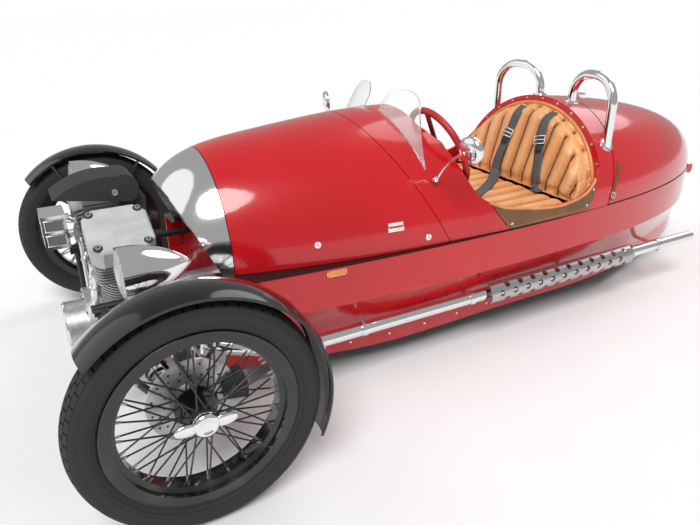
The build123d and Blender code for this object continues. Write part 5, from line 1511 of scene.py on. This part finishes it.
    def build_spoke_ends(self, shop: Workshop, side: int, word: str) -> None:
        """Nipples of the wire spokes and the tyre's valve."""
        nipples = bmesh.new()
        place, length, foot, tip = self.nipple
        for hub_y, hub_radius, rim_y, twist in self.spoke_rows:
            for spoke in range(self.spokes):
                rim_turn = spoke * 360 / self.spokes
                hub_turn = rim_turn + twist * (1 if spoke % 2 else -1)
                outer = self.at(side, rim_turn, place, rim_y)
                way = (self.at(side, hub_turn, hub_radius, hub_y) - outer).normalized()
                add_rod(nipples, outer, outer + way * length, foot, tip, 8)
        shop.piece(f"nipples_{word}", nipples, STEEL, f"front_wheel_{word}")
        valve = bmesh.new()
        for outer, outer_y, inner, inner_y, radius in self.valve:
            ends = [self.at(side, self.valve_turn, r, y) for r, y in ((outer, outer_y), (inner, inner_y))]
            add_rod(valve, *ends, radius, sides=12)
        shop.piece(f"valve_{word}", valve, CHROME, f"front_wheel_{word}")

    def build(self, shop: Workshop) -> None:
        """Dress both front wheels."""
        for side, word in SIDE_NAMES.items():
            body = f"front_wheel_{word}"
            tyre = self.tyre_mesh(side)
            shop.piece(f"treaded_tyre_{word}", tyre, TYRE_RUBBER, body, [f"front_tyre_{word}"])
            self.build_spoke_ends(shop, side, word)
            lips = combined(self.both_sides(self.lip, side))
            shop.piece(f"rim_lips_{word}", lips, BLACK_GLOSS, body, shading=Shading.SOFT)
            # Black plugs of painted shade in the disc's drilled holes
            holes = bmesh.new()
            for radius, first in self.disc_holes:
                for index in range(self.holes):
                    turn = index * 360 / self.holes + first
                    ends = [self.at(side, turn, radius, y) for y in self.disc_faces]
                    add_rod(holes, *ends, self.hole_radius, sides=12)
            shop.piece(f"disc_holes_{word}", holes, BLACK_PLASTIC, body)
            nut = self.nut_mesh(side)
            shop.piece(f"winged_nut_{word}", nut, CHROME, body, [f"wheel_nut_{word}"], Shading.SOFT)


@dataclass
class RearTyre(FrontWheel):
    """The wide rear tyre."""

    axle: Point = (-1.1655, 0.0, 0.310)
    crown: float = 0.310
    shoulder: float = 0.296
    tread_half: float = 0.088
    rows: tuple[float, ...] = (-0.072, -0.048, -0.024, 0.0, 0.024, 0.048, 0.072)
    row_half: float = 0.0098
    blocks: int = 52
    wall: tuple = (
        (0.077, 0.1845), (0.077, 0.202), (0.088, 0.222), (0.0940, 0.240), (0.0949, 0.252), (0.0935, 0.270),
        (0.0905, 0.286), (0.0875, 0.2955),
    )
    rings: tuple = ((0.0915, 0.2300, 0.0014), (0.0938, 0.2640, 0.0012))

    def build(self, shop: Workshop) -> None:
        """Dress the rear wheel."""
        shop.piece("treaded_rear_tyre", self.tyre_mesh(LEFT), TYRE_RUBBER, "rear_wheel", ["rear_tyre"])


@dataclass
class BodyTrim:
    """Fasteners, badges and fittings on the painted body."""

    panel_nodes: tuple[str, ...] = ("bonnet", "cockpit_surround", "lower_body", "tail_lid", "nose_cowl")
    # The x and height of each bonnet fastener, and its steps: foot, top, radius and tip radius
    bonnet_fasteners: tuple = ((0.727, 0.550), (0.311, 0.514))
    fastener_steps: tuple = ((-0.002, 0.0022, 0.0125, 0.0115), (0.0022, 0.0034, 0.0080, 0.0074))
    # The black block on each fastener's head is painted shade in its slot
    slot_height: float = 0.0034
    slot_turn: float = 0.6
    slot_size: Point = (0.0128, 0.0020, 0.0006)
    sill_height: float = 0.128
    sill_front: float = 0.92
    sill_pitch: float = 0.16
    sill_screws: int = 10
    sill_screw: tuple = (-0.002, 0.0018, 0.0052, 0.0040)
    badge: tuple[float, float] = (0.439, 0.572)
    # Each layer of the plain badge: its piece, its finish and its block
    badge_layers: tuple = (
        ("badge_rim", CHROME, (0, 0, 0.0008, 0.062, 0.034, 0.0028, 0.0010)),
        ("badge_field", PORCELAIN, (0, 0, 0.0012, 0.056, 0.028, 0.0028, 0.0004)),
        ("badge_band", RED, (0, 0, 0.0014, 0.056, 0.007, 0.0028, 0.0003)),
    )
    # The x and y of each foot of the left roll hoop, its flange and the ring of bolts: how many, the
    # ring's radius and the first one's angle
    hoop_feet: tuple = ((-0.655, 0.352), (-0.690, 0.098))
    flange: tuple = (-0.004, 0.0045, 0.0335, 0.0315)
    flange_bolts: int = 3
    flange_bolt_ring: tuple[float, float] = (0.0262, 0.5)
    flange_bolt: tuple = (0.004, 0.0085, 0.0042)
    sky_height: float = 1.5
    # The left mirror's middle and the way it looks, its bowl and glass, and the points of its stalk
    mirror_at: Point = (0.231, 0.537, 0.840)
    mirror_way: Point = (-1, -0.25, 0.05)
    bowl: tuple = (
        (0.0118, 0.0448), (0.0120, 0.0476), (0.008, 0.0479), (0.000, 0.0462), (-0.0065, 0.038),
        (-0.0105, 0.024), (-0.0118, 0.0),
    )
    glass: tuple = ((0.0105, 0.0448), (0.0100, 0.0))
    stalk: tuple = ((0.262, 0.396, 0.704), (0.250, 0.430, 0.762), (0.240, 0.488, 0.812))
    stalk_radius: float = 0.0048
    stalk_reach: float = 0.010
    # The ball at the stalk's foot: how far it is lifted and its radius; then the joint's radius
    foot_ball: tuple[float, float] = (0.006, 0.011)
    joint_ball: float = 0.0085
    # The exhaust clamps: their x, the pipe's y and height, the band and the bolt's ends beside the pipe
    clamp_places: tuple[float, ...] = (0.585, -0.830)
    pipe_at: tuple[float, float] = (0.440, 0.214)
    clamp_band: tuple = ((-0.011, 0.0245), (-0.011, 0.0268), (0.011, 0.0268), (0.011, 0.0245))
    clamp_bolt: tuple = ((0.010, 0.240), (-0.014, 0.250))
    clamp_bolt_radius: float = 0.0045
    # The side markers' bezels: x and height, then width, height, bar, thickness, rounding and overlaps
    marker_at: tuple[float, float] = (0.685, 0.460)
    bezel: tuple = (0.071, 0.021, 0.003, 0.005, 0.0012, (-0.005, -0.005))
    # The left tail lamp's inner and outer ends, and the ring behind its lens
    tail_lamp: tuple = ((-1.530, 0.060, 0.440), (-1.545, 0.175, 0.440))
    lamp_ring: tuple = ((-0.004, 0.0242), (-0.003, 0.0256), (0.004, 0.0256), (0.005, 0.0242))
    ring_setback: float = 0.008

    def build_fasteners(self, shop: Workshop) -> None:
        """Quarter turn fasteners of the bonnet with painted shade in their slots, and screws of the sills."""
        discs, slot_shades, screws = bmesh.new(), bmesh.new(), bmesh.new()
        for side in SIDE_NAMES:
            for x, z in self.bonnet_fasteners:
                spot = facing_out(*shop.flank(self.panel_nodes, x, z, side))
                for step in self.fastener_steps:
                    add_stud(discs, spot, *step, 32)
                turned = spot @ shift(0, 0, self.slot_height) @ Matrix.Rotation(self.slot_turn, 4, "Z")
                # A black block of painted shade in the slot
                add_block(slot_shades, turned, self.slot_size)
            for index in range(self.sill_screws):
                x = self.sill_front - self.sill_pitch * index
                spot = facing_out(*shop.flank(self.panel_nodes, x, self.sill_height, side))
                add_stud(screws, spot, *self.sill_screw, 16)
        shop.piece("bonnet_fasteners", discs, CHROME)
        shop.piece("fastener_slot_shades", slot_shades, BLACK_PLASTIC)
        shop.piece("sill_screws", screws, CHROME)

    def build_badges(self, shop: Workshop) -> None:
        """A plain badge on each flank."""
        for name, finish, row in self.badge_layers:
            layer = bmesh.new()
            for side in SIDE_NAMES:
                add_blocks(layer, level_on(*shop.flank(self.panel_nodes, *self.badge, side)), [row])
            shop.piece(name, layer, finish)

    def build_hoop_feet(self, shop: Workshop) -> None:
        """Bolted flanges under the roll hoops."""
        plates, bolts = bmesh.new(), bmesh.new()
        for side in SIDE_NAMES:
            for x, y in self.hoop_feet:
                spot = facing_out(*shop.outermost(self.panel_nodes, (x, side * y, self.sky_height), -UP))
                add_stud(plates, spot, *self.flange, 48)
                for place in on_circle(spot, self.flange_bolts, *self.flange_bolt_ring):
                    add_stud(bolts, place, *self.flange_bolt, sides=6)
        shop.piece("hoop_flanges", plates, CHROME)
        shop.piece("hoop_flange_bolts", bolts, STEEL, shading=Shading.FACETED)

    def build_mirrors(self, shop: Workshop) -> None:
        """A chrome bowl and glass in place of each plain mirror head."""
        for side, word in SIDE_NAMES.items():
            flip = Vector((1, side, 1))
            head = flip * Vector(self.mirror_at)
            way = (flip * Vector(self.mirror_way)).normalized()
            bowl = spun(self.bowl, head, way, 48)
            stalk = eased([*(flip * Vector(p) for p in self.stalk), head - way * self.stalk_reach], 6)
            add_tube(bowl, stalk, self.stalk_radius, 16)
            lift, foot_radius = self.foot_ball
            for place, radius in ((stalk[0] + UP * lift, foot_radius), (stalk[-3], self.joint_ball)):
                ball = Matrix.Translation(place)
                bmesh.ops.create_uvsphere(bowl, u_segments=24, v_segments=12, radius=radius, matrix=ball)
            replaced = ["mirrors"] if side == LEFT else []
            shop.piece(f"mirror_{word}", bowl, CHROME, replaces=replaced, shading=Shading.SOFT)
            shop.piece(f"mirror_glass_{word}", spun(self.glass, head, way, 48), MIRROR_GLASS)

    def build_lamp_trim(self, shop: Workshop) -> None:
        """Clamps of the exhausts, rings of the tail lamps and bezels of the markers."""
        bolts, bezels = bmesh.new(), bmesh.new()
        rings = []
        pipe_y, pipe_z = self.pipe_at
        for side in SIDE_NAMES:
            for x in self.clamp_places:
                rings.append(spun(self.clamp_band, (x, side * pipe_y, pipe_z), AHEAD, 48))
                ends = [(x, side * pipe_y + y, z) for y, z in self.clamp_bolt]
                add_rod(bolts, *ends, self.clamp_bolt_radius, sides=6)
            marker = level_on(*shop.flank(self.panel_nodes, *self.marker_at, side))
            add_blocks(bezels, marker, border(*self.bezel))
            inner, outer = (Vector((x, side * y, z)) for x, y, z in self.tail_lamp)
            way = (outer - inner).normalized()
            rings.append(spun(self.lamp_ring, outer - way * self.ring_setback, way, 48))
        shop.piece("clamp_rings", combined(rings), CHROME)
        shop.piece("clamp_bolts", bolts, STEEL, shading=Shading.FACETED)
        shop.piece("marker_bezels", bezels, CHROME)

    def build(self, shop: Workshop) -> None:
        """Dress the body."""
        self.build_fasteners(shop)
        self.build_badges(shop)
        self.build_hoop_feet(shop)
        self.build_mirrors(shop)
        self.build_lamp_trim(shop)


@dataclass
class Controls:
    """Dials, steering boss, arch screws, seat piping and grille mesh."""

    # Each dial's y, height, radius and how many gaps its marks leave
    dials: tuple = ((0.020, 0.790, 0.042, 24), (-0.110, 0.780, 0.042, 20), (-0.210, 0.745, 0.028, 10))
    dial_x: float = 0.201
    # A bezel's profile as distance towards the driver, and radius over the dial's
    bezel: tuple = ((-0.001, -0.004), (0.004, -0.002), (0.004, 0.0015), (-0.009, 0.0015))
    dial_face: tuple[float, float] = (-0.002, 0.0006)
    face_border: float = 0.004
    first_mark: float = 225
    mark_sweep: float = 270
    mark_border: float = 0.0065
    mark_lengths: tuple[float, float] = (0.006, 0.0035)
    mark_out: float = 0.0009
    mark_radius: float = 0.0005
    needle_turn: float = 215
    needle_out: float = 0.0022
    needle_tail: float = 0.006
    needle_border: float = 0.012
    needle_radii: tuple[float, float] = (0.0010, 0.0004)
    needle_hub: tuple = (0.0012, 0.0038, 0.0042)
    hub: Point = (0.118, 0.208, 0.760)
    hub_reach: float = 0.15
    lean: float = 22
    boss: tuple = ((-0.001, 0.030), (0.003, 0.029), (0.0065, 0.022), (0.008, 0.0))
    boss_screws: int = 9
    boss_ring: float = 0.0335
    boss_screw: tuple = (-0.002, 0.0025, 0.0030)
    arch_half: float = 0.435
    arch_height: float = 0.381
    arch_foot: float = 0.478
    arch_screws: int = 13
    arch_start: float = 14
    arch_screw: tuple = (-0.002, 0.0022, 0.0062, 0.0048)
    cockpit_x: float = -0.35
    piping_x: float = -0.529
    piping_lean: float = 0.214
    piping_half: float = 0.4125
    piping_height: float = 0.3605
    piping_points: int = 61
    piping_start: float = 3
    piping_radius: float = 0.0075
    grille_pitch: float = 0.011
    grille_step: float = 0.012
    grille_wire: float = 0.0009
    grille_lift: float = 0.001
    grille_reach: float = 0.1
    grille_facing: float = 0.3

    def build_dials(self, shop: Workshop) -> None:
        """A bezel, a pale face, marks and a needle for each dial."""
        bezels, faces, marks, needles = [], bmesh.new(), bmesh.new(), bmesh.new()
        for y, z, radius, count in self.dials:
            centre = Vector((self.dial_x, y, z))
            dial = frame_of(centre, -ACROSS, -AHEAD)
            bezels.append(spun([(out, radius + more) for out, more in self.bezel], centre, -AHEAD, 48))
            add_stud(faces, dial, *self.dial_face, radius - self.face_border, sides=48)
            for index in range(count + 1):
                turn = math.radians(self.first_mark - self.mark_sweep * index / count)
                out = Vector((math.cos(turn), math.sin(turn), 0))
                start = out * (radius - self.mark_border) + UP * self.mark_out
                end = start - out * self.mark_lengths[index % 2]
                add_rod(marks, dial @ start, dial @ end, self.mark_radius, sides=6)
            turn = math.radians(self.needle_turn)
            way = Vector((math.cos(turn), math.sin(turn), 0))
            ends = (-self.needle_tail, radius - self.needle_border)
            tail, tip = (dial @ (UP * self.needle_out + way * end) for end in ends)
            add_rod(needles, tail, tip, *self.needle_radii, 8)
            add_stud(needles, dial, *self.needle_hub)
        shop.piece("dial_bezels", combined(bezels), CHROME)
        shop.piece("dial_faces", faces, PORCELAIN)
        shop.piece("dial_marks", marks, BLACK_PLASTIC)
        shop.piece("dial_needles", needles, RED_LENS)

    def build_boss(self, shop: Workshop) -> None:
        """Chrome centre and screws of the steering wheel."""
        tilt = math.radians(self.lean)
        normal = Vector((-math.cos(tilt), 0, math.sin(tilt)))
        start = Vector(self.hub) + normal * self.hub_reach
        place, _ = shop.outermost(["steering_wheel"], start, -normal)
        cap = spun(self.boss, place, normal, 40)
        shop.piece("steering_boss", cap, CHROME, "steering_wheel", shading=Shading.SOFT)
        screws = bmesh.new()
        for spot in on_circle(frame_of(place, ACROSS, normal), self.boss_screws, self.boss_ring):
            add_stud(screws, spot, *self.boss_screw, sides=6)
        shop.piece("steering_boss_screws", screws, STEEL, "steering_wheel", shading=Shading.FACETED)

    @staticmethod
    def along_arch(first: float, count: int) -> list[float]:
        """Even turns over an arch, in radians, from a first one in degrees to its mirror image."""
        return [math.radians(first + (180 - 2 * first) * index / (count - 1)) for index in range(count)]

    def build_arch(self, shop: Workshop) -> None:
        """Small screws round the arch and the piping of the seat back."""
        screws = bmesh.new()
        for turn in self.along_arch(self.arch_start, self.arch_screws):
            y = self.arch_half * math.cos(turn)
            z = self.arch_foot + self.arch_height * math.sin(turn)
            met = shop.outermost(["cockpit_surround"], (self.cockpit_x, y, z), -AHEAD)
            if met and met[1].x > 0.5:
                add_stud(screws, facing_out(*met), *self.arch_screw)
        shop.piece("arch_screws", screws, CHROME)
        line = []
        for turn in self.along_arch(self.piping_start, self.piping_points):
            rise = self.piping_height * math.sin(turn)
            x = self.piping_x - self.piping_lean * rise
            line.append((x, self.piping_half * math.cos(turn), self.arch_foot + rise))
        piping = add_tube(bmesh.new(), line, self.piping_radius)
        shop.piece("seat_piping", piping, TAN_HIDE, shading=Shading.SOFT)

    def on_grille(self, shop: Workshop, start: Vector) -> Vector | None:
        """The spot just before the grille's face that a ray from ahead lands on, if it does."""
        met = shop.outermost(["grille"], start, -AHEAD)
        return met[0] + AHEAD * self.grille_lift if met and met[1].x > self.grille_facing else None

    def build_grille(self, shop: Workshop) -> None:
        """Crossed wires laid on the front of the grille panel."""
        low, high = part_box("grille")
        mesh = bmesh.new()
        for axis, other in ((1, 2), (2, 1)):
            start, end, first, last = low[axis], high[axis], low[other], high[other]
            steps = int((last - first) / self.grille_step)
            for index in range(1, int((end - start) / self.grille_pitch)):
                spots = []
                for step in range(steps + 1):
                    origin = Vector((high[0] + self.grille_reach, 0, 0))
                    origin[axis] = start + index * self.grille_pitch
                    origin[other] = first + (last - first) * step / steps
                    spots.append(self.on_grille(shop, origin))
                for landed, stretch in groupby(spots, key=lambda spot: spot is not None):
                    run = list(stretch)
                    if landed and len(run) > 1:
                        add_tube(mesh, run, self.grille_wire, 5)
        shop.piece("grille_wires", mesh, CHROME, shading=Shading.SOFT)

    def build(self, shop: Workshop) -> None:
        """Dress the controls and the grille."""
        self.build_dials(shop)
        self.build_boss(shop)
        self.build_arch(shop)
        self.build_grille(shop)


@dataclass
class Studio:
    """Floor, soft lights and the photographer's camera."""

    eye: Point = (1.5673, 2.165, 1.3689)
    yaw: float = -118.397
    pitch: float = -24.213
    roll: float = -0.572
    focal_pixels: float = 633.1
    image_width: float = 700
    sensor_width: float = 36
    clip: tuple[float, float] = (0.05, 200)
    floor_reach: float = 30
    floor_colour: Colour = (0.86, 0.86, 0.86)
    floor_tone: float = 1.06
    # Each lamp's name, where it shines from, the spread of its light in degrees and its strength
    lamps: tuple[tuple[str, Point, float, float], ...] = (
        ("key", (2.0, 3.0, 5.0), 30, 2.3),
        ("fill", (4.0, -2.0, 3.0), 60, 0.5),
        ("back", (-4.0, -1.5, 4.0), 40, 0.7),
    )
    sky: float = 0.32
    # How much of the camera's white sky is seen through glass and in gloss
    sky_shares: tuple = (("Is Transmission Ray", 1.0), ("Is Glossy Ray", 0.1))

    def set_camera(self) -> None:
        """Stand the camera where the photograph was taken from."""
        yaw, pitch, roll = (math.radians(a) for a in (self.yaw, self.pitch, self.roll))
        forward = Vector((math.cos(yaw) * math.cos(pitch), math.sin(yaw) * math.cos(pitch), math.sin(pitch)))
        right = forward.cross(UP).normalized()
        data = bpy.data.cameras.new("camera")
        data.sensor_width = self.sensor_width
        data.lens = self.focal_pixels / self.image_width * self.sensor_width
        data.clip_start, data.clip_end = self.clip
        camera = bpy.data.objects.new("camera", data)
        camera.matrix_world = frame_of(self.eye, right, -forward) @ Matrix.Rotation(roll, 4, "Z")
        bpy.context.scene.collection.objects.link(camera)
        bpy.context.scene.camera = camera

    def set_lamps(self) -> None:
        """Set the soft lamps."""
        for name, place, spread, power in self.lamps:
            data = bpy.data.lights.new(name, "SUN")
            data.angle, data.energy = math.radians(spread), power
            lamp = bpy.data.objects.new(name, data)
            aim = (-Vector(place)).to_track_quat("-Z", "Y")
            lamp.matrix_world = Matrix.Translation(place) @ aim.to_matrix().to_4x4()
            bpy.context.scene.collection.objects.link(lamp)

    def set_sky(self) -> None:
        """Make the sky white to the camera and soft to everything that it lights."""
        recipe = Recipe(bpy.data.worlds.new("sky"), "Background")
        seen = recipe.node("ShaderNodeLightPath", {}, out="Is Camera Ray")
        rays = seen.socket.node.outputs
        for name, share in self.sky_shares:
            settings = {"operation": "MULTIPLY_ADD", "use_clamp": True}
            seen = recipe.node("ShaderNodeMath", settings, Socket(recipe, rays[name]), share, seen)
        level = recipe.node("ShaderNodeMapRange", {}, seen, 0, 1, self.sky, 1)
        bpy.context.scene.world = recipe.finish(Strength=level, Color=(1, 1, 1))

    def lay_floor(self) -> None:
        """Lay the pale floor under the wheels."""
        mesh = bmesh.new()
        bmesh.ops.create_grid(mesh, x_segments=1, y_segments=1, size=self.floor_reach)
        data = bpy.data.meshes.new("floor")
        mesh.to_mesh(data)
        mesh.free()
        floor = bpy.data.objects.new("floor", data)
        bpy.context.scene.collection.objects.link(floor)
        recipe = Recipe(bpy.data.materials.new("pale_floor"))
        lighter = tuple(c * self.floor_tone for c in self.floor_colour)
        tone = recipe.blend(recipe.noise(3, 5), self.floor_colour, lighter)
        data.materials.append(recipe.finish(Base_Color=tone, Roughness=recipe.noise(6) * 0.1 + 0.8))

    def build(self) -> None:
        """Set up everything that isn't the car."""
        bpy.context.scene.view_settings.view_transform = "Standard"
        self.set_camera()
        self.set_lamps()
        self.set_sky()
        self.lay_floor()


ASSEMBLIES: tuple[type, ...] = (Bench, CockpitTrim, Engine, FrontWheel, RearTyre, BodyTrim, Controls)


def main() -> None:
    """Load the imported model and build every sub-assembly on it."""
    logging.basicConfig(level=logging.INFO, format="%(message)s")
    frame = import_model()
    shop = Workshop(frame)
    Studio().build()
    shop.dress_nodes()
    for assembly in ASSEMBLIES:
        assembly().build(shop)
    LOG.info("%d pieces made", shop.made)


if __name__ == "__main__":
    main()
